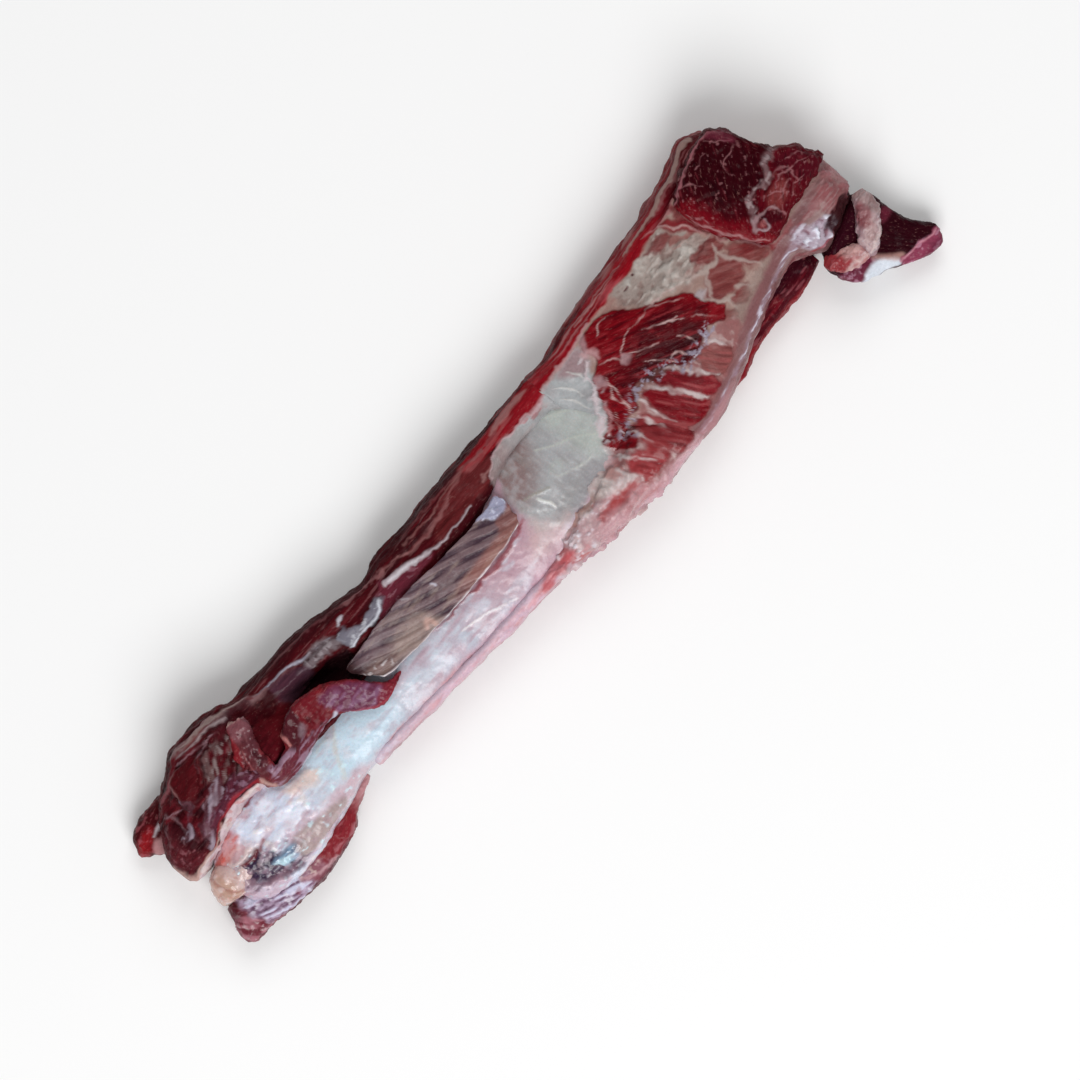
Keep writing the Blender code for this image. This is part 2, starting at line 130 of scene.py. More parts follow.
def grit(places, size, seed=0):
    """Soft random values from -1 to 1 in blobs of this size, or of these sizes along x, y and z."""
    at = places / np.asarray(size, float) + 17.3 * seed + 1000.0
    cell = np.floor(at).astype(int)
    part = at - cell
    part = part * part * (3 - 2 * part)
    total = np.zeros(len(places))
    for i in (0, 1):
        for j in (0, 1):
            for k in (0, 1):
                share = np.abs(1 - i - part[:, 0]) * np.abs(1 - j - part[:, 1]) * np.abs(1 - k - part[:, 2])
                corner = (cell + (i, j, k)) % LATTICE
                total += share * GRAINS[corner[:, 0], corner[:, 1], corner[:, 2]]
    return total * 2 - 1


def rough(places, size, seed=0):
    """Three sizes of grit together, still about -1 to 1."""
    size = np.asarray(size, float)
    return (grit(places, size, seed) + 0.5 * grit(places, size / 2, seed + 1)
        + 0.25 * grit(places, size / 4, seed + 2)) / 1.4


def ramp(value, low, high):
    """0 below low, 1 above high, smooth between."""
    t = np.clip((value - low) / (high - low), 0, 1)
    return t * t * (3 - 2 * t)


def rgb(red, green, blue):
    """A colour as seen on a screen, 0 to 255, made into light."""
    seen = np.array([red, green, blue]) / 255
    return np.where(seen <= 0.04045, seen / 12.92, ((seen + 0.055) / 1.055) ** 2.4)


def curved(points, closed):
    """More points on a smooth curve through the given ones."""
    p = np.asarray(points, float)
    n = len(p)
    runs = n if closed else n - 1
    out = []
    for i in range(runs):
        if closed:
            a, b, c, d = p[(i - 1) % n], p[i], p[(i + 1) % n], p[(i + 2) % n]
        else:
            a, b, c, d = p[max(i - 1, 0)], p[i], p[i + 1], p[min(i + 2, n - 1)]
        for s in range(CURVE_STEPS):
            t = s / CURVE_STEPS
            out.append(0.5 * (2 * b + (c - a) * t + (2 * a - 5 * b + 4 * c - d) * t * t
                + (3 * b - a - 3 * c + d) * t ** 3))
    if not closed:
        out.append(p[-1])
    return np.array(out)


class Skin:
    """The fine surface of one piece: rings of points, what shows at each of them, and its relief."""

    def __init__(self, rings, colour, lean, grain=0.0, unrolled=True):
        self.rings = rings
        self.count = rings.shape[0] * rings.shape[1]
        self.place = rings.reshape(-1, 3)
        top = rings[:, :, 2].max(axis=1)[:, None]
        middle = (rings[:, :, 1].max(axis=1) + rings[:, :, 1].min(axis=1))[:, None] / 2
        drop = np.maximum(top - rings[:, :, 2] - SHOULDER, 0)
        self.x = self.place[:, 0].copy()
        self.y = (rings[:, :, 1] + unrolled * np.sign(rings[:, :, 1] - middle) * drop).ravel()
        self.wave_x, self.wave_y = (0.7 * grit(self.place, 3.5, seed) + 0.35 * grit(self.place, 1.3, seed + 1)
                                    for seed in (3, 5))
        self.colour = np.tile(rgb(*colour), (self.count, 1))
        self.lean = np.full(self.count, float(lean))
        self.film = np.zeros(self.count)
        self.rise = np.zeros(self.count)
        self.grain = np.empty((self.count, 3))
        self.lay_grain(np.ones(self.count), grain)

    def lay_grain(self, mask, turn):
        """The way the fibres run, in degrees from X, where the mask is over a half."""
        ahead = math.radians(turn)
        along = self.x * math.cos(ahead) + self.y * math.sin(ahead)
        across = -self.x * math.sin(ahead) + self.y * math.cos(ahead)
        new = np.stack([along, across, self.place[:, 2]], axis=1)
        self.grain = np.where((mask > 0.5)[:, None], new, self.grain)

    def distance(self, path, closed, ragged, reach):
        """How far each point is from a path, and how far along the path its nearest point lies."""
        x = self.x + ragged * self.wave_x
        y = self.y + ragged * self.wave_y
        low, high = path.min(axis=0) - reach, path.max(axis=0) + reach
        near = np.nonzero((x > low[0]) & (x < high[0]) & (y > low[1]) & (y < high[1]))[0]
        away = np.full(self.count, reach)
        along = np.zeros(self.count)
        best = np.full(len(near), reach)
        share = np.zeros(len(near))
        inside = np.zeros(len(near), bool)
        px, py = x[near], y[near]
        ends = np.roll(path, -1, axis=0) if closed else path[1:]
        steps = len(ends)
        for i in range(steps):
            ax, ay = path[i]
            bx, by = ends[i]
            dx, dy = bx - ax, by - ay
            t = np.clip(((px - ax) * dx + (py - ay) * dy) / (dx * dx + dy * dy + 1e-12), 0, 1)
            gap = np.hypot(px - ax - t * dx, py - ay - t * dy)
            closer = gap < best
            best = np.where(closer, gap, best)
            share = np.where(closer, (i + t) / steps, share)
            if closed:
                crosses = (ay > py) != (by > py)
                inside ^= crosses & (px < ax + (py - ay) * dx / (dy if dy else 1e-12))
        away[near] = np.where(inside, -best, best)
        along[near] = share
        return away, along

    def area(self, outline, soft=0.7, ragged=0.8):
        """1 inside an outline, 0 outside."""
        away, _ = self.distance(curved(outline, True), True, ragged, 30.0)
        return 1 - ramp(away, -soft, soft)

    def line(self, points, width, soft=0.4, ragged=0.4):
        """1 on a line of this width, or of these widths from its start to its end."""
        widths = np.atleast_1d(np.asarray(width, float))
        away, along = self.distance(curved(points, False), False, ragged, widths.max() + 4)
        half = np.interp(along, np.linspace(0, 1, len(widths)), widths / 2) * (1 + 0.6 * self.wave_y)
        return 1 - ramp(away, half - soft, half + soft)

    def spots(self, size, amount, seed=0, soft=0.15):
        """1 in scattered blobs, more of them for a larger amount."""
        level = 0.6 - amount
        return ramp(rough(self.place, size, seed), level - soft, level + soft)

    def streaks(self, size, seed, low, high):
        """1 where grit of this size is over high, 0 where it is under low."""
        return ramp(grit(self.place, size, seed), low, high)

    def clouds(self, size, seed, low, high):
        """The same with rough in the place of grit."""
        return ramp(rough(self.place, size, seed), low, high)

    def lay(self, mask, colour=None, lean=None, film=None, rise=0.0):
        """Covers the masked points with a screen colour, or with light worked out for each of them, and sets
        how lean, how shiny and how high they are."""
        if colour is not None:
            light = rgb(*colour) if isinstance(colour, tuple) else colour
            self.colour += mask[:, None] * (light - self.colour)
        if lean is not None:
            self.lean += mask * (lean - self.lean)
        if film is not None:
            self.film += mask * (film - self.film)
        self.rise += mask * rise

    def patch(self, outline, colour, share=1.0, soft=0.7, ragged=0.8, lean=None, film=None, rise=0.0):
        """Covers the inside of an outline."""
        mask = self.area(outline, soft, ragged) * share
        self.lay(mask, colour, lean, film, rise)
        return mask

    def stroke(self, points, width, colour, share=1.0, soft=0.4, ragged=0.5, lean=None, film=None, rise=0.0):
        """Covers a line."""
        mask = self.line(points, width, soft, ragged) * share
        self.lay(mask, colour, lean, film, rise)
        return mask


def build(name, skin, material, node_names):
    """The piece's mesh, pushed out along its normals by its relief, in the frame."""
    rings = skin.rings
    stations, count = rings.shape[:2]
    along = np.gradient(rings, axis=0)
    around = (np.roll(rings, -1, axis=1) - np.roll(rings, 1, axis=1)) / 2
    out = np.cross(around, along)
    out /= np.linalg.norm(out, axis=2)[:, :, None] + 1e-9
    middle = rings.mean(axis=1)[:, None, :]
    turned = np.sum(out * (rings - middle)) < 0
    if turned:
        out = -out
    fade = np.clip(np.minimum(np.arange(stations), np.arange(stations)[::-1]) / END_RINGS, 0, 1)
    rise = skin.rise.reshape(stations, count) * fade[:, None]
    done = rings + out * rise[:, :, None]
    done[:, :, 2] = np.maximum(done[:, :, 2], FLOOR)
    points = done.reshape(-1, 3)
    caps = np.stack([done[0].mean(axis=0), done[-1].mean(axis=0)])
    points = np.concatenate([points, caps])
    points[:, :2] += FRAME_SHIFT
    points *= MM

    i, j = np.meshgrid(np.arange(stations - 1), np.arange(count), indexing="ij")
    a = i * count + j
    b = i * count + (j + 1) % count
    quads = np.stack([a, b, b + count, a + count], axis=-1).reshape(-1, 4)
    j = np.arange(count)
    last = (stations - 1) * count
    first_fan = np.stack([np.full(count, stations * count), (j + 1) % count, j], axis=1)
    last_fan = np.stack([np.full(count, stations * count + 1), last + j, last + (j + 1) % count], axis=1)
    if turned:
        quads = quads[:, ::-1]
        first_fan = first_fan[:, ::-1]
        last_fan = last_fan[:, ::-1]
    corners = np.concatenate([quads.ravel(), first_fan.ravel(), last_fan.ravel()]).astype(np.int32)
    sizes = np.concatenate([np.full(len(quads), 4), np.full(2 * count, 3)])
    starts = np.concatenate([[0], np.cumsum(sizes)[:-1]]).astype(np.int32)
    mesh = bpy.data.meshes.new(name)
    mesh.vertices.add(len(points))
    mesh.vertices.foreach_set("co", points.ravel())
    mesh.loops.add(len(corners))
    mesh.loops.foreach_set("vertex_index", corners)
    mesh.polygons.add(len(sizes))
    mesh.polygons.foreach_set("loop_start", starts)
    mesh.polygons.foreach_set("use_smooth", np.ones(len(sizes), bool))
    mesh.update(calc_edges=True)
    mesh.validate()

    def with_caps(values):
        """The values with those of the two end points added."""
        rows = values.reshape(stations, count, -1)
        ends = np.stack([rows[0].mean(axis=0), rows[-1].mean(axis=0)])
        return np.concatenate([values.reshape(stations * count, -1), ends]).ravel()

    paint = np.column_stack([np.clip(skin.colour, 0, 1), np.ones(skin.count)])
    for label, kind, key, values in (("paint", "FLOAT_COLOR", "color", paint),
                                     ("lean", "FLOAT", "value", skin.lean),
                                     ("film", "FLOAT", "value", skin.film),
                                     ("grain", "FLOAT_VECTOR", "vector", skin.grain)):
        mesh.attributes.new(label, kind, "POINT").data.foreach_set(key, with_caps(values))
    piece = bpy.data.objects.new(name, mesh)
    bpy.context.scene.collection.objects.link(piece)
    mesh.materials.append(material)
    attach(piece, "root")
    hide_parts(*node_names)
    return piece


class Thread:
    """A value in a material's nodes. Sums and products of threads add their own Math nodes."""

    def __init__(self, tree, plug=None):
        self.tree = tree
        self.plug = plug

    def made(self, kind, settings=None, values=None, out=0):
        """Adds a node: its type, its settings, then the values or threads of its sockets."""
        node = self.tree.nodes.new(kind)
        for label, value in (settings or {}).items():
            setattr(node, label, value)
        for label, value in (values or {}).items():
            if isinstance(value, Thread):
                self.tree.links.new(value.plug, node.inputs[label])
            else:
                node.inputs[label].default_value = value
        return Thread(self.tree, node.outputs[out])

    def math(self, operation, a, b=0.0, clamp=False):
        settings = {"operation": operation, "use_clamp": clamp}
        return self.made("ShaderNodeMath", settings, {0: a, 1: b})

    def __add__(self, other):
        return self.math("ADD", self, other)

    __radd__ = __add__

    def __mul__(self, other):
        return self.math("MULTIPLY", self, other)

    __rmul__ = __mul__

    def __sub__(self, other):
        return self.math("SUBTRACT", self, other)

    def __rsub__(self, other):
        return self.math("SUBTRACT", other, self)

    def between(self, low, high):
        """0 below low, 1 above high."""
        return self.math("MULTIPLY", self - low, 1 / (high - low), clamp=True)

    def blend(self, other, share):
        """This colour with a share of the other."""
        colours = {0: share, 6: self, 7: other}
        return self.made("ShaderNodeMix", {"data_type": "RGBA"}, colours, 2)

    def scaled(self, factor):
        """This colour or vector times a value."""
        return self.made("ShaderNodeVectorMath", {"operation": "SCALE"}, {0: self, "Scale": factor})

    def stretched(self, factors):
        """This vector times one factor along each axis."""
        return self.made("ShaderNodeVectorMath", {"operation": "MULTIPLY"}, {0: self, 1: factors})

    def noise(self, scale, detail=2.0, roughness=0.5):
        """Cloudy values about a half, at this many blobs per unit of the places."""
        values = {"Vector": self, "Scale": scale, "Detail": detail, "Roughness": roughness}
        return self.made("ShaderNodeTexNoise", None, values)


def flesh(name, fibre=0.5, fleck=0.0, mottle=0.35, dry=0.34, wet=0.5, soak=0.05, ridge=0.5, shine=0.25):
    """Moist meat, fat or skin: fibres and flecks where lean, soft blotches where not."""
    material = bpy.data.materials.new(name)
    material.use_nodes = True
    tree = material.node_tree
    shader = tree.nodes["Principled BSDF"]
    start = Thread(tree)
    paint = start.made("ShaderNodeAttribute", {"attribute_name": "paint"})
    lean = start.made("ShaderNodeAttribute", {"attribute_name": "lean"}, out=2)
    film = start.made("ShaderNodeAttribute", {"attribute_name": "film"}, out=2)
    grain = start.made("ShaderNodeAttribute", {"attribute_name": "grain"}, out=1)
    here = start.made("ShaderNodeTexCoord", out=3)

    strands = grain.stretched((0.11, 0.85, 0.85)).noise(1.0, 3.0, 0.6)
    hairs = grain.stretched((0.45, 3.0, 3.0)).noise(1.0, 2.0)
    blotch = here.noise(0.16 / MM, 3.0, 0.6)
    crumb = here.noise(1.1 / MM, 3.0, 0.6)
    cloth = (strands - 0.5) * 1.7 + (hairs - 0.5) * 1.1
    cloud = (blotch - 0.5) * 0.9 + (crumb - 0.5) * 0.9
    shade = 1.0 + lean * fibre * cloth + (1.0 - lean) * mottle * cloud
    colour = paint.scaled(shade)
    if fleck:
        veins = grain.stretched((0.42, 1.5, 1.5)).noise(1.0, 3.0, 0.65).between(0.60, 0.68)
        colour = colour.blend((*rgb(196, 140, 132), 1.0), veins * lean * fleck)
    tree.links.new(colour.plug, shader.inputs["Base Color"])
    gloss = dry + (crumb - 0.5) * 0.35 - film * 0.12
    tree.links.new(gloss.plug, shader.inputs["Roughness"])
    tree.links.new((wet + film * 0.25).plug, shader.inputs["Coat Weight"])
    height = lean * (strands * 0.9 + hairs * 0.5) + (1.0 - lean) * crumb * 0.8
    bump = start.made("ShaderNodeBump", None, {"Height": height, "Strength": ridge, "Distance": 0.35 * MM})
    tree.links.new(bump.plug, shader.inputs["Normal"])
    shader.inputs["Coat Roughness"].default_value = 0.12
    shader.inputs["Specular IOR Level"].default_value = shine
    shader.inputs["Subsurface Weight"].default_value = soak
    shader.inputs["Subsurface Radius"].default_value = (1.0, 0.35, 0.25)
    shader.inputs["Subsurface Scale"].default_value = 2.0 * MM
    return material


bone_stations = np.concatenate([np.arange(-161, 64, 0.5), np.linspace(64, 146, 14)])
bone = Skin(bar(BONE, bone_stations, count=118, power=2.5), (194, 194, 206), lean=0)
BONE_BLUE = (196, 216, 230)
BONE_WHITE = (228, 222, 226)
WINDOW = (166, 166, 168)
WINDOW_BROWN = (130, 98, 96)

bone.lay(1 - ramp(bone.x, -128, -108), (208, 214, 232))
bone.lay(bone.area([(-113, 12), (-116, 0), (-108, -8), (-90, -8), (-76, -4), (-74, 6), (-86, 13), (-100, 14)],
    6), BONE_BLUE)
brushed = ramp(grit(bone.place, (9, 2.4, 9), 11) + 0.4 * grit(bone.place, (4, 1.2, 4), 12), -0.3, 0.7)
bone.lay(brushed * ramp(bone.x, -78, -66) * 0.75, (186, 158, 172))
pale = bone.area([(-112, 11), (-112, -8), (-70, -9), (-72, 8), (-90, 12)], 5)
bone.lay(pale * bone.clouds((9, 4, 6), 13, 0, 0.5) * 0.7, (212, 212, 222), rise=0.2)
bone.lay(pale * bone.streaks((8, 2, 5), 14, 0.3, 0.7) * 0.5, (206, 180, 190))
cool = bone.clouds((12, 4, 9), 15, 0.0, 0.5)
bone.lay(cool * ramp(bone.x, -95, -70) * 0.6 * (1 - ramp(bone.x, -25, 0)), (184, 200, 214))
bone.lay(ramp(bone.x + 9 * rough(bone.place, (11, 5, 8), 17), -50, -12) * 0.9, (182, 144, 156))
bone.lay(ramp(bone.x, -74, -50) * bone.streaks((7, 1.3, 5), 18, 0.15, 0.6) * 0.5, (176, 136, 150))
bone.lay(ramp(bone.x, -74, -50) * bone.clouds((8, 3, 6), 19, 0.1, 0.5) * 0.5, (206, 214, 226), rise=0.15)
mottles = bone.clouds((5, 3, 5), 16, 0.05, 0.55)
bone.lay(mottles * ramp(bone.x, -55, -25) * 0.45, (190, 158, 168))
bone.lay(bone.line([(-94, -8.4), (-80, -9.6), (-70, -10.8), (-45, -12.6), (-25, -14.6), (0, -16)], 2.6, 1.3,
    1.8) * (0.25 + 0.5 * bone.spots(5, 0.5, 21)), (208, 136, 136))
bone.lay((1 - ramp(bone.y, -15, -9)) * ramp(bone.x, -100, -86) * (1 - ramp(bone.x, -10, 5)) * 0.5,
    (208, 172, 190))
bone.stroke([(-48, 4), (-38, 2.6), (-25, 1.6), (-13, 1.4), (-4, 2.6), (2, 4)], (0.3, 1, 1.6, 2.2, 1.6, 0.8),
    (140, 52, 62), 0.85, soft=0.5, ragged=1.2, lean=0.6, rise=0.3)
bone.lay(bone.line([(-41, -4), (-33, -6), (-28, -8), (-20, -12)], 0.7, 0.3), BONE_WHITE, rise=0.15)

window = bone.area([(3, 3), (4, 12), (7, 19), (10, 25), (20, 28), (40, 28), (64, 28), (64, -4), (52, -8),
    (40, -6), (34, -8), (26, -8), (16, -9), (8, -6), (3, -2)], 1.6, 1.6)
bone.lay(window, WINDOW, film=0.4)
brown = bone.area([(2, 10), (6, 27), (18, 29), (26, 26), (23, 17), (17, 10), (8, 6)], 5)
bone.lay(window * brown * 0.85, WINDOW_BROWN)
bone.lay(window * bone.streaks((7, 5, 7), 22, 0.1, 0.7) * 0.35, (178, 184, 176))
bone.lay(window * bone.streaks((2.5, 6, 4), 23, 0.2, 0.7) * 0.45, (146, 142, 140))
bone.lay(window * bone.clouds((3, 3, 3), 24, 0.1, 0.6) * 0.4, (184, 186, 190), rise=0.15)
threads = grit(bone.place, (0.8, 3.4, 3), 48)
bone.lay(window * ramp(threads, 0.1, 0.6) * 0.25, (184, 180, 182), rise=0.12)
bone.lay(window * ramp(-threads, 0.1, 0.6) * 0.25, (138, 130, 132), rise=-0.12)
bone.lay(window * bone.area([(14, 0), (30, -1), (37, -4), (34, -10), (14, -10)], 3, 2) * 0.6, (136, 130, 134))
bone.lay(window * bone.area([(36, 24), (52, 22), (50, 8), (40, -2), (33, 6)], 4) * 0.4, (182, 190, 182))
for path, width, tint in (([(45, 23.5), (47, 21.5), (48.3, 19), (49, 15)], 0.8, (205, 208, 202)),
                          ([(24, 16), (29, 12), (35, 9), (42, 3)], 0.6, (186, 188, 180)),
                          ([(11.5, 4.5), (12.4, 2), (13.4, 0), (13.2, -2)], 0.9, (208, 208, 204)),
                          ([(30, 22), (36, 20), (42, 16)], 0.5, (184, 188, 180)),
                          ([(8, 8), (12, 6.5), (17, 4)], 0.7, (150, 146, 138)),
                          ([(22, 4), (28, 1), (35, -1)], 0.7, (186, 188, 184))):
    bone.lay(bone.line(path, width, 0.4) * 0.85, tint, rise=0.25)
bone.lay(bone.area([(-1, -2), (4, 1), (8, -4), (14, -7), (6, -11), (-4, -8)], 3, 2) * 0.7, (206, 178, 178))

tendon = bone.line([(-94, 12), (-98, 8), (-101, 4.5), (-104, 0), (-107, -4)], (0.8, 1.6, 1.0), 0.7, 0.8)
bone.lay(tendon * 0.4, (206, 194, 174), rise=0.3)
bone.stroke([(-100, 9), (-103, 9.6), (-106, 9)], 0.8, (206, 200, 192), 0.4, soft=0.6, rise=0.2)
joint = 1 - ramp(bone.x, -124, -104)
# Painted highlights: bright bluish-white patches on the wet joint end.
bone.lay(joint * bone.clouds((7, 3, 5), 26, 0, 0.4) * 0.7, (232, 232, 244), rise=0.3)
bone.lay(joint * bone.clouds((6, 4, 6), 37, 0.1, 0.6) * 0.55, (216, 184, 192))
bone.lay(joint * bone.clouds((4, 3, 4), 38, 0.15, 0.6) * 0.6, (232, 222, 218), rise=0.3)
bone.lay(joint * bone.streaks((7, 1.1, 3), 46, 0.35, 0.7) * 0.5, (188, 148, 160), rise=-0.2)
bone.lay(joint * bone.streaks((5, 0.9, 3), 47, 0.4, 0.7) * 0.6, (232, 236, 246), rise=0.2)
bone.lay(bone.area([(-134, -1), (-120, -4), (-104, -5), (-98, -12), (-134, -14)], 2.5, 2) * 0.6,
    (206, 164, 172))
bone.patch([(-124, 10), (-119, 9), (-112, 8), (-111, 4), (-116, 3), (-123, 6)], (226, 198, 186), 0.75,
    soft=1.8, ragged=1.8, rise=0.5)
bone.patch([(-168, 13), (-158, 11), (-148, 10), (-146, 3), (-150, -1), (-158, -4), (-168, -3)],
    (204, 176, 172), 0.85, soft=2.4, ragged=1.8)
bone.patch([(-163, -2), (-156, -3), (-150, -7), (-146, -14), (-158, -16), (-165, -8)], (196, 170, 188), 0.85,
    soft=1.6, ragged=1.6, rise=0.4)
knobs = rough(bone.place, 3.0, 31) * (1 - ramp(bone.x, -140, -118))
bone.lay(ramp(knobs, 0.2, 0.7) * 0.45, (218, 212, 226), rise=0.6)
bone.lay(ramp(-knobs, 0.2, 0.6) * 0.55, (192, 140, 152), rise=-0.35)
stain = bone.area([(-161, 10), (-157, 13.6), (-151, 14.5), (-147, 15.6), (-146, 12), (-150, 9.5), (-156, 8)],
    1.4, 2.2)
bone.lay(stain * (0.65 + 0.35 * bone.spots((4, 1.4, 3), 0.5, 32)), (200, 100, 92))
bone.stroke([(-158, 15.4), (-150, 15.6), (-146, 17), (-140, 18), (-127, 17)], 1.8, (156, 44, 50), 0.9,
    soft=0.8, ragged=1.4)
# The hollow is sunk and painted near black-purple: painted shade in the cavity, along with its own
# purple-black mottling.
shaded_hollow = bone.area([(-156, 3), (-150, 4.6), (-145, 3), (-141, -3), (-139, -9), (-136, -12), (-143, -12.5),
    (-150, -8), (-155, -3)], 1.3, 2.0)
bone.lay(shaded_hollow * (0.6 + 0.4 * bone.spots(2.2, 0.6, 33)), (56, 40, 64), rise=-1.6)
bone.stroke([(-154, -1), (-150, -5), (-145, -9.6), (-139, -12.6), (-134, -13)], (2, 4, 3.4, 2.4, 1),
    (60, 40, 68), 0.7, soft=1, ragged=2.4, rise=-0.7)
smear = bone.area([(-160, 4), (-150, 6), (-142, 2), (-134, -3), (-128, -9), (-138, -14), (-150, -11),
    (-160, -5)], 1.6, 2.2)
bone.lay(smear * bone.streaks((3.6, 0.9, 2), 42, 0.05, 0.45) * 0.6, (150, 118, 136))
bone.lay(smear * bone.streaks((2.4, 1.1, 2), 43, 0.3, 0.6) * 0.65, (92, 62, 82), rise=-0.4)
# Painted wet sheen: a bluish patch right of the hollow with darker streaks in it, and a painted highlight
# line across it.
shine = bone.area([(-146, -4), (-140, -3.5), (-133, -5.4), (-134, -8.4), (-141, -8.6)], 0.8, 1.2)
bone.lay(shine, (140, 172, 198), film=1, rise=1)
bone.lay(shine * bone.streaks((5, 0.8, 1), 44, -0.1, 0.3) * 0.8, (96, 104, 128))
bone.lay(bone.line([(-145.6, -5), (-142, -6.4), (-138, -7)], (1.6, 2.2, 0.8), 0.5) * 0.9, (198, 226, 238),
    film=1)
bone.patch([(-133, -4), (-122, -6), (-113, -8), (-113, -12), (-124, -13), (-137, -12)], (166, 146, 144), 0.9,
    soft=1.2, ragged=1.4, rise=0.5)
bone.lay(bone.area([(-133, -4), (-113, -8), (-113, -12), (-137, -12)], 1.2)
    * bone.streaks((6, 1, 2), 45, 0, 0.5) * 0.5, (196, 182, 182))
bone.stroke([(-133.4, -4), (-132.6, -7), (-133.6, -9)], 0.8, (206, 200, 206), 0.7, soft=0.4, rise=0.3)
bone.stroke([(-155, 5), (-152, 3.4), (-149, 2.8), (-146, 3.6)], (0.8, 1.6, 1), (104, 28, 36), 0.9, soft=0.5,
    rise=-0.4)
bone.stroke([(-145, 2.8), (-141, 4.4)], 0.9, (140, 62, 58), 0.7, soft=0.5)
bone.stroke([(-156, -2), (-153, -6), (-147, -10), (-142, -13)], (0.6, 1.2, 0.8), (120, 80, 96), 0.7, soft=0.5,
    ragged=1.2)
# Painted glints: small bright blue-white highlights scattered over the wet joint end.
painted_glints = bone.streaks((1.7, 1.0, 1.2), 39, 0.6, 0.78) * ramp(-bone.x, 92, 106)
bone.lay(painted_glints * 0.75, (212, 236, 244), film=1, rise=0.15)
dimples = ramp(-rough(bone.place, (4, 2.2, 3), 25), 0.15, 0.55)
bone.lay(dimples * (1 - window) * 0.35, (180, 150, 164), rise=-0.2)
bone.rise += joint * (0.6 * rough(bone.place, 5.0, 40) + 0.3 * rough(bone.place, 2.0, 41))
bone.rise += 0.18 * rough(bone.place, 4.0, 35) + 0.08 * grit(bone.place, 1.2, 36)

bone_finish = flesh("wet_bone_skin", mottle=0.22, dry=0.3, wet=0.3, soak=0.08, ridge=0.35, shine=0.45)

# The muscle that was cut through at the meaty end. Its red fans and strips lie on the bone, on the fat and
# in the thick meat alike, so one set of outlines covers them all, with pale seams between the bundles.

RED = (114, 9, 20)
DEEP_RED = (84, 5, 15)
MAROON = (60, 4, 13)
BLACK_RED = (42, 4, 11)
SEAM = (190, 160, 158)
PEARL = (200, 184, 188)
ISLAND = (112, 38, 40)
FAN = [(61, 24), (63, 27.5), (68, 28.3), (75, 28), (80, 24), (83, 20.5), (88, 17.5), (93, 14), (98, 11),
       (100.5, 8.5), (101, 4), (103, 0.5), (104, -4), (100.5, -7), (95, -3.5), (88, -5.5), (84, -6.5),
       (79, -5), (76, -1), (72, 1), (67, 2.5), (62, 3), (59, 0), (57, -3), (53, -2), (50, -6), (49, -9.5),
       (46, -11), (42.5, -7), (40.5, -3), (41.5, 0), (46, 1.5), (49.5, 5), (52.5, 10), (55, 15),
       (58, 16.5), (61, 18), (62, 21)]
STRIPS = [
    ([(52, -6), (57, -6), (61, -12), (64, -22), (56, -24), (52, -15)], (124, 32, 38), 0.95),
    ([(62, -2), (66.5, -2), (70, -8), (76, -22), (67, -24), (62, -14)], (114, 16, 26), 1),
    ([(68, 0), (73, -2), (78, -8), (83, -16), (82, -22), (76, -20), (72, -9)], (120, 30, 38), 1),
    ([(83, -8), (90, -8), (96, -13), (92, -19), (84, -18)], (130, 72, 70), 0.8),
    ([(40, -13), (46, -12), (52, -16), (50, -22), (40, -21)], (148, 40, 46), 0.85),
    ([(49, -11), (53, -10), (54, -20), (50, -21)], (136, 44, 48), 0.8),
]
WHITE_LINES = [
    ([(65.5, -1), (69, -6), (72, -11), (74.6, -16), (76, -20)], (1.2, 1.4, 2.0, 1.6, 1.0)),
    ([(74, -1), (78, -6), (81, -11), (83, -15), (85, -17.6)], (0.9, 1.5, 1.2, 1.4, 0.7)),
    ([(40, -2), (40, -7), (42.5, -12), (45, -14), (48, -19)], (1.0, 1.6, 2.0, 1.0, 0.6)),
    ([(50, -5), (51, -9), (52, -14)], (0.6, 1.2, 0.4)),
    ([(55, -5), (57, -9), (58, -14)], (1.2, 1.6, 0.4)),
    ([(60, -2), (60.6, -8), (63, -16)], (1.6, 1.0, 0.4)),
    ([(90, -6), (93, -9), (95, -13)], (1.2, 1.6, 0.5)),
    ([(37, -10), (38, -15), (40, -20)], (0.8, 1.4, 0.6)),
]
FINE_SEAMS = [
    [(61, 16.5), (64, 15.5), (66, 14), (67, 11.5), (70, 14.5), (75, 16.4), (82, 16.3), (86, 17.3)],
    [(86, 17.3), (90, 16.5), (95, 15), (100, 13)],
    [(54, -4), (56, 2), (58, 8), (57, 12)],
    [(48, -6), (49, -1), (52, 3)],
    [(56, 1), (55, 6), (57, 9), (58.6, 13)],
    [(84, 10), (88, 8), (92, 4)],
    [(72, 6), (76, 1), (79, -3)],
    [(94, 3), (97, 0), (100, -4)],
    [(70, 12), (74, 9), (80, 6)],
    [(80, 13), (86, 9), (91, 7)],
    [(78, 0), (82, -1), (83, -4)],
    [(86, 3), (88, -1), (87, -5)],
    [(68, 24), (72, 26), (76, 26)],
    [(88, 17), (93, 12), (98, 9)],
]


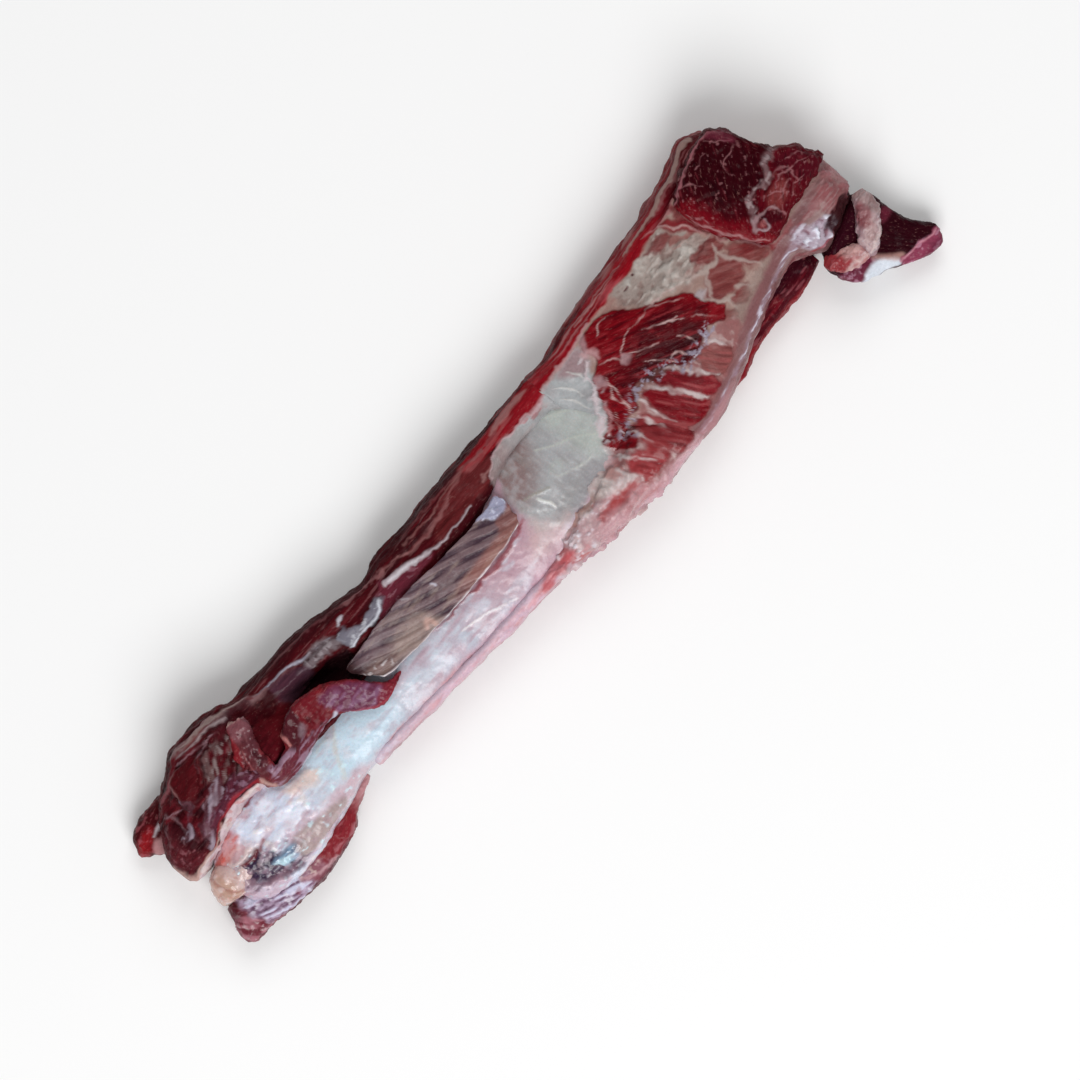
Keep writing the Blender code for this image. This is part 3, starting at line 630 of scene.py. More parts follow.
def lay_cut_muscle(skin):
    """The fan, the strips below it, and the pale seams, rim and frayed skin round them."""
    under_fan = skin.area([(40, -3), (52, -5), (66, 0), (80, -4), (97, -6), (104, -10), (96, -18), (80, -22),
        (60, -24), (40, -22)], 1.2, 1.8)
    skin.lay(under_fan * 0.9, (142, 92, 92), lean=0.2)
    skin.lay(under_fan * skin.spots((2, 5, 3), 0.35, 45) * 0.6, (178, 156, 154), lean=0)
    for outline, colour, share in STRIPS:
        mask = skin.patch(outline, colour, share, soft=0.9, ragged=1.5, lean=0.9, rise=0.3)
        skin.lay_grain(mask, -62)
        strands = grit(skin.grain, (9, 1.0, 2), 46)
        skin.lay(mask * ramp(strands, 0.1, 0.5) * 0.6, (152, 74, 76))
        skin.lay(mask * ramp(-strands, 0.15, 0.5) * 0.5, (80, 8, 16))
    fan = skin.patch(FAN, RED, lean=1, rise=0.5, soft=0.35, ragged=1)
    skin.lay_grain(fan, -28)
    skin.patch([(64, 13), (70, 14), (80, 15), (88, 13), (96, 8), (100, 0), (92, -4), (84, -7), (76, -3),
        (66, 1), (58, 1), (60, 8)], DEEP_RED, 0.95, soft=3, ragged=2)
    skin.patch([(66, 7), (74, 5), (84, 3), (92, 0), (90, -5), (82, -6), (74, -2), (66, 2)], BLACK_RED, 0.75,
        soft=3, ragged=2)
    skin.patch([(74, 12), (86, 13), (94, 8), (86, 6), (76, 9)], MAROON, 0.65, soft=2.5, ragged=2)
    skin.patch([(57, 6), (60, 10), (62, 2), (58, -1)], MAROON, 0.7, soft=1.5, ragged=1.5)
    strands = grit(skin.grain, (10, 0.9, 1.2), 47) + 0.5 * grit(skin.grain, (4, 0.6, 0.8), 48)
    skin.lay(fan * ramp(strands, 0.25, 0.8) * 0.5, (150, 52, 58), rise=0.12)
    skin.lay(fan * ramp(-strands, 0.15, 0.7) * 0.55, (48, 3, 12), rise=-0.2)
    skin.lay(fan * skin.clouds((5, 3, 4), 60, 0.2, 0.6) * 0.5, (128, 26, 34))
    broken = skin.streaks(2.4, 58, -0.5, 0.2)
    for points, widths in WHITE_LINES:
        mask = skin.line(points, widths, 0.5, 1.5)
        skin.lay(mask * (0.35 + 0.6 * broken), (188, 172, 172), lean=0, rise=0.4)
    for points in FINE_SEAMS:
        mask = skin.line(points, (0.2, 0.7, 0.5, 0.2), 0.3, 1.1)
        skin.lay(mask * (0.25 + 0.6 * broken), SEAM, lean=0.2, rise=-0.12)
    skin.stroke([(42.5, 1), (45.5, 3.5), (48.5, 7.6), (52, 11.5), (54.5, 16), (57, 19.5), (60, 22)],
        (0.8, 2.6, 1.3, 1.8, 1, 1.4, 0.7), PEARL, 0.9, lean=0, film=0.5, rise=0.5, ragged=1.9)
    torn_rim = skin.line([(41.5, 0), (47.5, 6.5), (51.6, 11.5), (54, 16), (58, 22)], 5.0, 1.0, 2.0)
    skin.lay(torn_rim * skin.streaks((2.6, 0.8, 1), 50, 0.1, 0.5) * 0.7, (196, 188, 192), lean=0, rise=0.3)
    skin.stroke([(45, 0.5), (48, 1.4), (50, 5), (53, 9)], (0.8, 1.6, 1, 0.4), (180, 130, 132), 0.7,
        ragged=1.6, lean=0, rise=0.3)
    skin.stroke([(60.5, 24), (62.5, 22), (63, 19.5)], (1.8, 2.8, 1), (186, 146, 148), 0.8, soft=1, ragged=1.6,
        lean=0)
    for outline in ([(62, 27.6), (66, 29), (64, 25.6), (61, 23)],
            [(54.5, 14), (57, 16), (58, 12.6), (56, 11)], [(66.4, 12), (69, 13), (70, 10.6), (67.4, 10)]):
        skin.patch(outline, (172, 140, 144), 0.65, soft=0.8, ragged=1.3, lean=0)
    frays = skin.line([(49, -5), (54, -2.6), (60, 0.5), (66, 2), (72, 0.5), (77, -3), (80, -6), (88, -5.6),
        (96, -4)], 4.6, 1.2, 2.2)
    skin.lay(frays * skin.spots(1.3, 0.4, 41) * 0.9, (146, 136, 152), lean=0, rise=0.35)
    skin.lay(frays * skin.spots(0.9, 0.15, 49) * 0.7, (188, 182, 194), lean=0, rise=0.3)


lay_cut_muscle(bone)
bone.lay(0.6 * bone.line([(58, 29), (50, 27.6), (44, 26.5), (38, 25.2), (30, 24.6), (22, 26.8), (12, 26)],
    1.6, 0.6, 1.2), (214, 190, 190), rise=0.3)
build("bone_in_skin", bone, bone_finish, ["rib_bone"])

# The fat and flesh margin along the right edge of the bone. Thin and salmon pink beside the bare bone, it
# swells into soft nodules beside the window and ends in a smooth pinkish band under the cut muscle.

EDGE_FAT = [
    (-96, -10.9, -8, 8, 15), (-88, -11.7, -8, 5, 17), (-70, -13.5, -10, 4, 17.5), (-50, -15.8, -12, 4, 18),
    (-30, -17.8, -13.5, 4, 18.5), (-12, -19.2, -14, 3, 19.5), (0, -20.2, -13, 2, 21), (10, -22.6, -10, 1, 23),
    (20, -23.9, -8, 1, 24), (30, -25.5, -7, 1, 24.5), (40, -27, -5, 1, 25), (50, -27.5, -4, 1, 25.5),
    (60, -27.5, -10, 2, 25), (66, -26, -18, 6, 20),
]


def lay_low_side(skin):
    """The fat of the right side, down to the board: streaked pink and cream, and redder to the meaty end."""
    low = 1 - ramp(skin.place[:, 2], 14, 19)
    low *= (1 - ramp(skin.place[:, 1], -9, -6)) * ramp(skin.x, -100, -88)
    tint = rgb(198, 158, 170) + ramp(skin.x, -30, 80)[:, None] * (rgb(150, 104, 106) - rgb(198, 158, 170))
    skin.lay(low, tint, lean=0)
    skin.lay(low * skin.streaks((16, 3, 1.6), 53, 0.1, 0.6) * 0.55, (158, 78, 82), lean=0.3)
    skin.lay(low * skin.streaks((12, 3, 1.1), 54, 0.15, 0.6) * 0.6, (208, 186, 190), rise=0.2)
    skin.lay(low * skin.clouds((12, 5, 5), 34, 0.15, 0.5) * 0.5, (134, 72, 80), lean=0.3)
    skin.lay(low * skin.clouds((7, 4, 4), 65, 0.2, 0.6) * 0.5, (210, 188, 184), rise=0.5)


edge = Skin(bar(EDGE_FAT, np.arange(-96, 66, 0.45), count=120, power=3), (210, 180, 196), lean=0, grain=4)
edge.lay(1 - ramp(edge.x, -92, -76), (204, 204, 216))
edge.lay(ramp(edge.x, -14, 8), (180, 146, 150))
edge.lay(edge.spots((5, 2.4, 4), 0.4, 51) * 0.6, (206, 148, 152))
edge.stroke([(-86, -9.6), (-70, -11.2), (-45, -13.4), (-25, -15.6), (-5, -17.2)], (0.4, 1.6, 2.4, 2.6),
    (204, 130, 132), 0.55, soft=1.2, ragged=1.8)
edge.lay(edge.clouds((7, 1.6, 4), 56, 0.2, 0.6) * (1 - ramp(edge.x, -12, 0)) * 0.5, (222, 204, 214), rise=0.3)
nodules = ramp(edge.x, -12, 2) * (1 - ramp(edge.x, 42, 52))
lumps = rough(edge.place, (5.0, 3.2, 5), 52)
edge.lay(nodules * ramp(lumps, 0, 0.5) * 0.85, (200, 180, 182), rise=1.5)
edge.lay(nodules * ramp(-lumps, 0.1, 0.4) * 0.75, (172, 84, 86), lean=0.3, rise=-0.5)
edge.lay(nodules * edge.clouds((2.2, 1.2, 2), 57, 0.2, 0.6) * 0.8, (220, 210, 218), rise=0.6)
edge.patch([(3, -7), (12, -6), (26, -8), (38, -9), (40, -13), (26, -12), (8, -11)], (164, 148, 142), 0.75,
    soft=1.4, ragged=2)
edge.patch([(27, -8), (34, -9), (42, -15), (40, -19), (33, -17), (27, -13)], (190, 178, 176), 0.7, soft=1.5,
    ragged=2, rise=0.5)
edge.patch([(19, -15.5), (27, -16), (36, -17), (38, -20), (28, -20.5), (20, -19)], (158, 58, 60), 0.8,
    soft=0.9, ragged=1.8, lean=0.7)
edge.patch([(33, -9), (39, -8), (42, -12), (37, -14), (33, -12)], (150, 84, 80), 0.6, soft=1.2, ragged=1.6,
    lean=0.4)
edge.patch([(-8, -14.5), (2, -15), (5, -17.5), (-4, -18.5), (-12, -17.5)], (184, 76, 82), 0.7, soft=1,
    ragged=1.6, lean=0.3)
edge.patch([(8, -7), (14, -7), (20, -10), (14, -11), (8, -9.5)], (184, 124, 112), 0.6, soft=1.2, ragged=1.6)
band = edge.area([(14, -21), (30, -20.5), (45, -20), (70, -20), (70, -60), (14, -60)], 2.0, 1.8)
edge.lay(band, (190, 148, 154), film=0.5)
edge.lay(band * edge.streaks((16, 1.4, 2), 53, 0, 0.6) * 0.5, (172, 104, 106), lean=0.3)
edge.lay(band * edge.streaks((12, 1, 2), 54, 0.25, 0.7) * 0.4, (208, 178, 180))
edge.lay(band * (1 - ramp(edge.y, -28.5, -25)) * 0.7, (200, 156, 168))
lay_low_side(edge)
lay_cut_muscle(edge)
inner = np.interp(edge.x, [-96, -70, -50, -30, -12, 0, 10, 20, 30, 40],
    [-8, -10, -12, -13.5, -14, -13, -10, -8, -7, -5])
edge.rise += 0.9 * ramp(edge.y - inner, -2.6, -0.3) * (1 - ramp(edge.x, 38, 50))
edge.lay(ramp(edge.y - inner + 0.8 * edge.wave_y, -2.6, -0.8) * (1 - ramp(edge.x, -14, -2)) * 0.75,
    (200, 184, 200))
edge.rise += 0.25 * rough(edge.place, 2.5, 55) + 0.5 * rough(edge.place, (6, 4, 4), 58)
fat_finish = flesh("moist_pink_fat", fibre=0.35, mottle=0.4, dry=0.34, wet=0.15, soak=0.08, ridge=0.7,
    shine=0.22)
build("fat_margin", edge, fat_finish, ["edge_fat"])

# The main meat. One mass of muscle and fat that wraps round the bone: a long flat side muscle with a thick
# lobe at the joint end, and the thick meaty end. It is skinned in two lengths that meet past the window.

MEAT_SPLIT = 41.0                   # mm, where the two lengths meet
MEAT = [(-169.3, 15, 23, 8, 17), (-167, 13, 28, 4, 22), (-162, 12.5, 34, 0.5, 26), (-154, 13.2, 41, -2, 28),
    (-146, 15, 45.5, -2, 30), (-137, 16, 48.9, -2, 31), (-127, 15, 48.7, -2, 31), (-118, 12, 46.5, -2, 29.5),
    (-110, 10, 43.3, -2, 27), (-97, 10, 42.5, -2, 26), (-85, 10, 41.8, -2, 26), (-72, 12, 39.8, -2, 25.5),
    (-60, 12, 36.3, -2, 25), (-50, 12, 34.2, -2, 25), (-40, 12, 36, -2, 25), (-20, 14, 35.3, -2, 25),
    (0, 17, 35.5, -2, 25), (20, 21, 34.8, -2, 24.5), (37, 20, 34.6, -2, 24.6), (45, 8, 34.4, -2, 25),
    (52, -8, 34.2, -2, 25.6), (58, -20, 35.2, -2, 26.2), (65, -27.3, 35.9, -2, 26.9),
    (76, -26.9, 36.7, -2, 27.8), (90, -23.5, 37.6, -2, 28.5), (105, -18.5, 38.9, -2, 29),
    (120, -14, 41, -2, 29.5), (131, -12, 43.2, -2, 29.5), (139, -17, 45.5, -2, 29),
    (143, -19.5, 44, -2, 28.5), (147, -19.5, 41.3, -2, 28), (151, -19, 35.5, -2, 28),
    (154, -18, 25, -2, 27.5), (157, -16.5, 19.7, -1, 27), (161, -14.5, 15.7, 1, 26), (164.5, -12, 8, 4, 23),
    (166.3, -5, 4, 8, 18)]
MEAT_RELIEF = [
    (-84, 23, 12, 4.2, -14, -11), (-104, 31, 9, 4, -25, -3.5), (-137, 36, 15, 5, 12, 2.2),
    (-128, 27.5, 12, 3, 28, -4.0), (-152, 33, 2.2, 9, 0, -2.2), (-159, 27, 5, 6, 0, 1.5),
    (-76, 31.5, 22, 1.8, -11, -1.8), (-62, 35.5, 16, 2.2, -14, 1.0), (-14, 31, 26, 2.4, 2, 1.3),
    (-22, 26.5, 24, 1.5, -8, -1.4), (72, 31, 34, 2.6, 4, 1.4), (80, 12, 17, 8, -22, 1.5),
    (58, 2, 6, 10, -25, 1.3), (100, 24, 10, 5, 0, -1.4), (108, 6, 9, 6, 10, 0.8),
    (122, 35, 12, 1.6, 12, -2.4), (78, -12, 9, 5, -50, 0.9), (49, 19, 10, 6, 40, -2.4),
]


def lay_flank(skin):
    """The outer flank below the shown edge: the same bundles run on from the side muscle to the meaty end."""
    shown_edge = np.interp(skin.x, [-64, 60, 90, 105, 120, 131, 140, 150],
        [34, 34.6, 37.2, 38.4, 40.8, 43, 45.8, 44])
    flank = ramp(skin.y - shown_edge, 1.2, 4.5) * ramp(skin.x, -64, -24) * (1 - ramp(skin.x, 150, 160))
    redder = ramp(rough(skin.place, (40, 9, 9), 59) + (skin.x - 56) / 60, -0.6, 0.6)
    tint = rgb(54, 9, 16) + redder[:, None] * (rgb(112, 12, 23) - rgb(54, 9, 16))
    skin.lay(flank * 0.95, tint, lean=1)
    skin.lay(flank * skin.streaks((15, 2, 1.3), 27, 0.15, 0.6) * 0.5, (138, 66, 70), lean=0.6)
    skin.lay(flank * skin.streaks((11, 2, 0.9), 28, 0.1, 0.6) * 0.55, (40, 4, 10))
    skin.lay(flank * skin.clouds((16, 6, 5), 29, 0.3, 0.6) * 0.6, (150, 112, 110), lean=0.1, rise=0.4)


thick = Skin(bar(MEAT, np.arange(MEAT_SPLIT - 0.4, 166.3, 0.45), count=290, power=3, hills=MEAT_RELIEF),
    (152, 124, 116), lean=0, grain=2)
thick.lay(thick.spots((8, 4, 6), 0.45, 61) * 0.5, (166, 144, 136))
thick.lay(thick.spots((6, 2.4, 4), 0.3, 62) * 0.5, (140, 98, 92))
glass = thick.area([(34, 20), (36, 26), (42, 27.4), (50, 27.2), (59, 28), (62, 24), (58, 18), (52, 8),
    (44, 0), (38, -4)], 1.0, 1.4)
thick.lay(glass, (162, 164, 166), film=0.4)
thick.lay(glass * thick.clouds((4, 4, 4), 74, 0, 0.5) * 0.5, (176, 176, 178))
thick.lay(glass * thick.streaks((2.5, 5, 4), 20, 0.1, 0.6) * 0.45, (146, 140, 142))
thick.patch([(50, 27), (59, 28), (62, 24), (58, 19), (54, 20), (50, 24)], (150, 118, 122), 0.8, soft=1.6,
    ragged=1.6)
for points in ([(45, 24), (47.6, 21.6), (48.8, 18), (49, 14.6)], [(43, 20), (46, 16), (47, 11)],
        [(52, 24.6), (54, 21), (54, 17)]):
    thick.stroke(points, (0.4, 0.9, 0.4), (196, 194, 192), 0.8, soft=0.4, ragged=0.9, rise=0.3)
lumpy = thick.area([(84, 29), (100, 30.5), (110, 30), (114, 25), (118, 19), (117, 14), (112, 11), (103, 11),
    (96, 14.5), (88, 18.5), (82, 23)], 1.6, 2.2)
clots = rough(thick.place, (4.6, 3.4, 4), 63)
thick.lay(lumpy, (150, 136, 130), lean=0)
thick.lay(lumpy * ramp(clots, 0, 0.5) * 0.9, (176, 168, 162), rise=1)
thick.lay(lumpy * ramp(-clots, 0.15, 0.5) * 0.7, (122, 96, 90), rise=-0.5)
thick.lay(lumpy * thick.streaks((2.4, 1.4, 2), 75, 0.35, 0.65) * 0.6, (192, 182, 176), rise=0.4)
thick.lay(lumpy * ramp(thick.x, 98, 110) * thick.spots((5, 3, 4), 0.3, 76) * 0.7, (140, 84, 80), lean=0.3)
pits = thick.streaks(1.5, 64, 0.62, 0.8)
thick.lay(thick.area([(86, 30), (100, 30), (99, 24), (88, 22)], 2) * pits, (104, 70, 70), rise=-0.8)
for outline in ([(100, 29.6), (107, 29), (112, 27.5), (111, 25.5), (105, 26.4)],
                [(112, 31), (117, 29), (120, 23), (119.6, 18.6), (116.6, 22), (113, 27)],
                [(110, 15.5), (116, 16.5), (121, 13.5), (120, 9), (114, 10), (111, 12)],
                [(105, 5), (110, 9), (117, 8), (119, 4), (118, -1), (113, -3), (107, -2), (103, 1)],
                [(107, -4), (113, -3.5), (116, -5.5), (112, -8), (108, -7)],
                [(100, -7), (104, -5.6), (106, -8.5), (102, -11)],
                [(119, 7), (125, 5), (129, 0), (128, -4), (121, -2), (119, 2)],
                [(119, 8), (124, 7), (127, 2), (124, 1)]):
    mask = thick.patch(outline, ISLAND, 0.85, soft=1, ragged=2, lean=0.8)
    thick.lay_grain(mask, -34)
    strands = grit(thick.grain, (6, 1.0, 1.4), 66)
    thick.lay(mask * ramp(strands, 0.1, 0.5) * 0.5, (140, 92, 90), lean=0.4)
    thick.lay(mask * ramp(-strands, 0.2, 0.6) * 0.5, (92, 28, 32))
thick.patch([(112, 31), (117, 29), (120, 23), (120, 18), (117, 21), (113, 27)], (122, 30, 38), 0.75, soft=0.9,
    ragged=1.6)
thick.patch([(98, -1), (104, 4.5), (103, 7), (98, 5.4), (96, 3)], (164, 152, 156), 0.9, soft=0.8, ragged=1.8,
    lean=0, rise=0.4)
thick.patch([(89, -5), (96, -5), (101, -9), (99, -13), (93, -11)], (160, 146, 142), 0.7, soft=1.4, ragged=1.8,
    lean=0)
for points in ([(101, 5), (103, 1), (106, -3), (107, -8)], [(111, -2), (113, -4), (117, -7)],
        [(103, -2), (109, -4)], [(118, 13), (117, 8), (119, 4), (122, -1), (124, -5)],
        [(104, 12), (109, 10), (114, 9), (118, 11)], [(110, 9), (106, 5), (104, 1)],
        [(112, 20), (116, 17), (120, 15)], [(100, 16), (104, 13), (108, 14)],
        [(106, 24), (111, 22), (116, 19)]):
    thick.stroke(points, (0.7, 1.8, 1, 0.5), (168, 150, 144), 0.75, soft=0.6, ragged=1.5, lean=0.1, rise=0.25)
thick.patch([(84, -14), (100, -8), (120, -5), (136, -2), (140, -8), (124, -11), (104, -16), (88, -21)],
    (136, 116, 110), 0.6, soft=2.2, ragged=2)
red_band = thick.area([(30, 27), (36, 27.6), (44, 27.8), (52, 28), (60, 28.6), (70, 29.5), (80, 30),
    (100, 30.8), (110, 31.5), (118, 33), (125, 35.5), (135, 38.5), (143, 41.5), (148, 44), (157, 52),
    (162, 62), (160, 84), (36, 84)], 0.6, 0.9)
thick.lay(red_band, (134, 14, 26), lean=1)
thick.lay_grain(red_band, 3)
thick.lay(red_band * thick.streaks((14, 1.1, 2.2), 67, 0.1, 0.6) * 0.5, (172, 84, 90), lean=0.5)
thick.lay(red_band * thick.streaks((9, 0.9, 1.6), 77, 0.1, 0.6) * 0.5, (88, 6, 15))
thick.lay(red_band * ramp(thick.x, 104, 124) * 0.85, (60, 5, 14))
thick.lay(red_band * thick.streaks((10, 1, 2), 68, 0.25, 0.6) * ramp(thick.x, 96, 120) * 0.5, (104, 28, 38))
for points, widths, colour in (
        ([(52, 34.8), (62, 35.4), (76, 36.2), (92, 37)], (0.8, 1.6, 1.2, 0.8), (150, 104, 104)),
        ([(50, 31.4), (60, 32.2), (70, 31.6), (84, 33.6)], (0.4, 0.9, 0.8, 0.4), (160, 96, 98)),
        ([(66, 34), (74, 34.8), (82, 34.4), (90, 35.8)], (0.4, 1.2, 0.8, 0.4), (172, 128, 126)),
        ([(96, 38), (104, 37.6), (114, 39), (122, 41), (132, 43), (141, 46)], (1, 2.2, 2.6, 3, 3.6, 4),
         (150, 124, 118)),
        ([(110, 36.6), (120, 38.4), (130, 40), (138, 41.6)], (0.4, 1, 1.2, 0.6), (126, 76, 78)),
        ([(104, 33.4), (111, 31.8), (119, 33), (126, 35.8), (134, 38.6), (142, 40), (147, 38.6)],
         (0.5, 1.4, 1, 0.7, 0.9, 0.5), (164, 108, 110)),
        ([(111, 31.8), (114, 28), (118, 22.6), (119.6, 18)], (0.8, 1, 1.3, 0.6), (176, 140, 138)),
        ([(41, 27.4), (50, 27.8), (60, 29), (70, 29.8)], (0.7, 0.9, 0.6), (172, 136, 138))):
    thick.stroke(points, widths, colour, 0.85, soft=0.5, ragged=1.5, lean=0.1, rise=0.25)
tan_band = thick.area([(170, -1), (160, -0.5), (150, -1), (140, -3), (132, -4), (124, -7), (110, -10.5),
    (96, -15), (84, -19), (70, -22.5), (60, -23), (60, -60), (170, -60)], 1.6, 1.0)
thick.lay(tan_band, (126, 84, 86), lean=0.15, film=0.4)
thick.lay(tan_band * thick.streaks((15, 1.6, 3), 69, 0, 0.6) * 0.45, (142, 110, 110))
thick.lay(tan_band * ramp(thick.x, 128, 142) * 0.7, (114, 78, 80))
thick.lay(tan_band * ramp(thick.x, 148, 158) * 0.6, (142, 96, 96))
lay_flank(thick)
lay_low_side(thick)
sawn = ramp(thick.x, 155, 163) * (1 - ramp(thick.place[:, 2], 11, 20))
thick.lay(sawn, (142, 104, 104), lean=0.2)
thick.lay(sawn * thick.clouds((6, 7, 5), 39, -0.1, 0.3), (102, 26, 34), lean=0.9)
thick.lay(sawn * thick.streaks((3, 1.4, 4), 51, 0.3, 0.6) * 0.6, (178, 146, 146), lean=0)
soft_skin = tan_band * ramp(thick.x, 118, 134)
thick.lay(soft_skin * thick.clouds((8, 3.4, 4), 31, 0, 0.5) * 0.6, (158, 132, 130))
thick.lay(soft_skin * ramp(-rough(thick.place, (7, 3, 4), 33), 0.1, 0.5) * 0.5, (138, 70, 76), lean=0.4)
thick.lay(soft_skin * thick.streaks((6, 0.5, 1), 35, 0.2, 0.6) * 0.25, (180, 160, 160), rise=0.1)
lay_cut_muscle(thick)
lilac = thick.line([(140, -9), (133, -12), (125, -15), (110, -19.6), (100, -22.4), (90, -24.6), (80, -26.6),
    (66, -28.4)], (6.0, 4.4, 2.8, 2.2, 1.6, 1.0), 1.2, 2.2)
thick.lay(lilac * 0.55, (158, 136, 152), lean=0)
thick.lay(lilac * thick.streaks((5, 0.7, 0.9), 70, 0.15, 0.5) * 0.8, (214, 210, 224), rise=0.25)
thick.lay((1 - ramp(thick.y, -30, -25)) * (1 - ramp(thick.x, 80, 92)) * ramp(thick.place[:, 2], 16, 20) * 0.7,
    (182, 132, 138))
cotton = thick.area([(137, -8), (144, -9), (150, -11), (153, -15), (151, -20), (145, -21), (139, -19),
    (138, -14)], 1, 1.6)
fluff = rough(thick.place, (2.2, 2.2, 2.2), 71)
thick.lay(cotton * 0.9, (180, 166, 180), lean=0)
thick.lay(cotton * ramp(fluff, 0, 0.4), (228, 228, 240), rise=1.1)
thick.lay(cotton * ramp(-fluff, 0.15, 0.5) * 0.8, (116, 66, 78), rise=-0.6)
thick.stroke([(139, -20), (146, -20.5), (151, -21)], 1.6, (150, 34, 44), 0.7, lean=0.8)
# Near black and sunk in the gap by the rolls: painted shade over the dark red meat there.
thick.patch([(149, -13), (157, -12.4), (164, -14.6), (167, -60), (145, -60), (148, -22)], (44, 8, 16), 0.92,
    soft=1, ragged=1.6, lean=0.8, rise=-1)
thick.stroke([(163, -1), (165, -6), (163.5, -13), (166, -17)], 2.6, (164, 100, 108), 0.5, soft=1.4,
    ragged=1.6, lean=0)
thick.stroke([(119, 32), (118.5, 27), (119.5, 22), (122, 15), (126, 8), (129, 1), (131, -4)],
    (2.6, 2, 2.2, 2.6), (112, 28, 36), 0.8, soft=0.8, ragged=1.4, lean=0.9, rise=-0.5)
thick.stroke([(119.4, 20), (121, 14), (124.6, 8), (127.6, 2), (129.6, -3)], (0.2, 0.7, 0.8, 0.5),
    (164, 116, 118), 0.6, soft=0.4, ragged=1.6, lean=0.1, rise=0.3)
thick.stroke([(127, -3.6), (134, -4.4), (142, -3.4)], (0.8, 2.4, 1), (140, 50, 56), 0.6, soft=1.2, ragged=1.6,
    lean=0.7)
thick.rise += 0.7 * (1 - ramp(thick.place[:, 2], 18, 26)) * rough(thick.place, (6, 4, 4), 67)
thick.rise += 1.5 * ramp(thick.x, 150, 161) * rough(thick.place, (4, 3.4, 4), 78)
thick.rise += 0.22 * rough(thick.place, 2.2, 72) + 0.12 * thick.lean * grit(thick.grain, (6, 0.9, 0.9), 73)
meat_finish = flesh("cut_meat_and_fat", fibre=0.55, fleck=0.12, mottle=0.42, dry=0.36, wet=0.03, soak=0.03,
    ridge=0.9, shine=0.05)
build("thick_meaty_end", thick, meat_finish, ["rib_meat"])

# The long side muscle and its lobe: dark bundles that run along the bone, with silverskin, tendons and
# smears of grey fat between them, a deep shadowed pocket behind the curled strip, and raw knobbly flesh.

side = Skin(bar(MEAT, np.arange(-169.3, MEAT_SPLIT + 0.3, 0.5), count=190, power=3, hills=MEAT_RELIEF),
    (72, 13, 20), lean=1, grain=-4)
long_streaks = side.streaks((16, 1.3, 2), 81, -0.1, 0.6)
side.lay(long_streaks * 0.5, (100, 22, 30))
side.lay(side.streaks((12, 1, 1.6), 82, 0.1, 0.6) * 0.65, (42, 11, 16))
side.lay(side.streaks((10, 0.7, 1.2), 83, 0.45, 0.75) * 0.5, (130, 84, 86))
side.patch([(-98, 39), (-85, 37), (-72, 35), (-58, 33), (-48, 32), (-30, 32.5), (0, 33), (42, 33.4), (42, 60),
    (-98, 60)], (54, 13, 19), 0.85, soft=1.2, ragged=1.6)
side.patch([(-22, 22), (-16, 28), (-4, 31.5), (8, 30), (12, 26), (6, 21.5), (-6, 21)], (92, 32, 34), 0.85,
    soft=1.5, ragged=1.6, rise=0.3)
side.patch([(-56, 21), (-50, 27), (-46, 29.5), (-40, 27), (-31, 23.6), (-26, 20.6), (-40, 19.6), (-52, 19.8)],
    (98, 36, 50), 0.9, soft=0.8, ragged=1.4, rise=0.4)
side.lay(side.area([(-56, 21), (-50, 27), (-40, 27), (-26, 20.6), (-40, 19.6)], 0.8)
    * side.spots((2.4, 0.9, 1.2), 0.3, 79) * 0.6, (146, 100, 112), lean=0.4)
side.patch([(-27, 20.3), (-15, 19.7), (-4, 20.3), (4, 20), (4, 17), (-4, 15.5), (-15, 16), (-25, 17)],
    (58, 11, 17), 0.9, soft=0.7)
side.patch([(2, 31), (12, 28), (20, 27.4), (30, 25.4), (46, 25.4), (46, 33.4), (28, 34), (6, 33.6)],
    (132, 18, 28), 0.9, soft=0.8, ragged=1.4, lean=1)
side.patch([(18, 31.5), (24, 34), (32, 34), (38, 32), (30, 31)], (160, 116, 114), 0.7, lean=0.2)
side.lay(side.area([(2, 33), (44, 33), (44, 26), (2, 26)], 1.2) * side.streaks((9, 1, 2), 84, 0.2, 0.6) * 0.5,
    (156, 84, 86), lean=0.4)
side.stroke([(-95, 41), (-88, 40.6), (-75, 38.4), (-62, 35.4), (-52, 32.4)], (0.4, 1.4, 0.9, 0.8),
    (108, 62, 66), 0.7, soft=0.5, ragged=1.5, lean=0.2, rise=0.2)
side.stroke([(-60, 34.6), (-52, 33), (-46, 31), (-42, 31)], (1, 1.8, 1.2), (132, 88, 90), 0.75, soft=0.5,
    ragged=1.6, lean=0.1)
side.stroke([(-107, 38.6), (-100, 36.8), (-92, 36.2), (-88, 35), (-82, 32.8), (-72, 30.6)],
    (0.3, 0.5, 0.7, 0.8, 0.4), (158, 158, 172), 0.85, soft=0.4, ragged=0.8, lean=0, film=1, rise=0.35)
for points, widths, colour, share in (
        ([(-34, 29), (-24, 27), (-12, 28), (0, 30.8), (12, 31)], (0.3, 1.2, 0.6, 0.9), (132, 84, 84), 0.7),
        ([(-30, 33.4), (-10, 32.4), (4, 31.8), (20, 31)], (0.3, 0.9, 0.5), (126, 76, 78), 0.6),
        ([(-44, 31.6), (-36, 29.6), (-28, 27), (-20, 26.4), (-10, 27.6)], (0.3, 0.9, 0.4),
         (136, 92, 92), 0.7),
        ([(-30, 31.4), (-20, 29.6), (-8, 30.6), (4, 32)], (0.3, 0.8, 0.4), (140, 98, 96), 0.6)):
    side.stroke(points, widths, colour, share, soft=0.5, ragged=1.4, lean=0.2)
grey_smear = side.area([(-89, 31), (-77, 27), (-69, 25), (-69, 29), (-82, 33)], 1.0, 2)
side.patch([(-89, 31), (-84, 30), (-77, 27), (-70, 25), (-69, 28.5), (-74, 31.6), (-82, 33)], (116, 104, 108),
    0.9, soft=1, ragged=2.2, lean=0, rise=0.3)
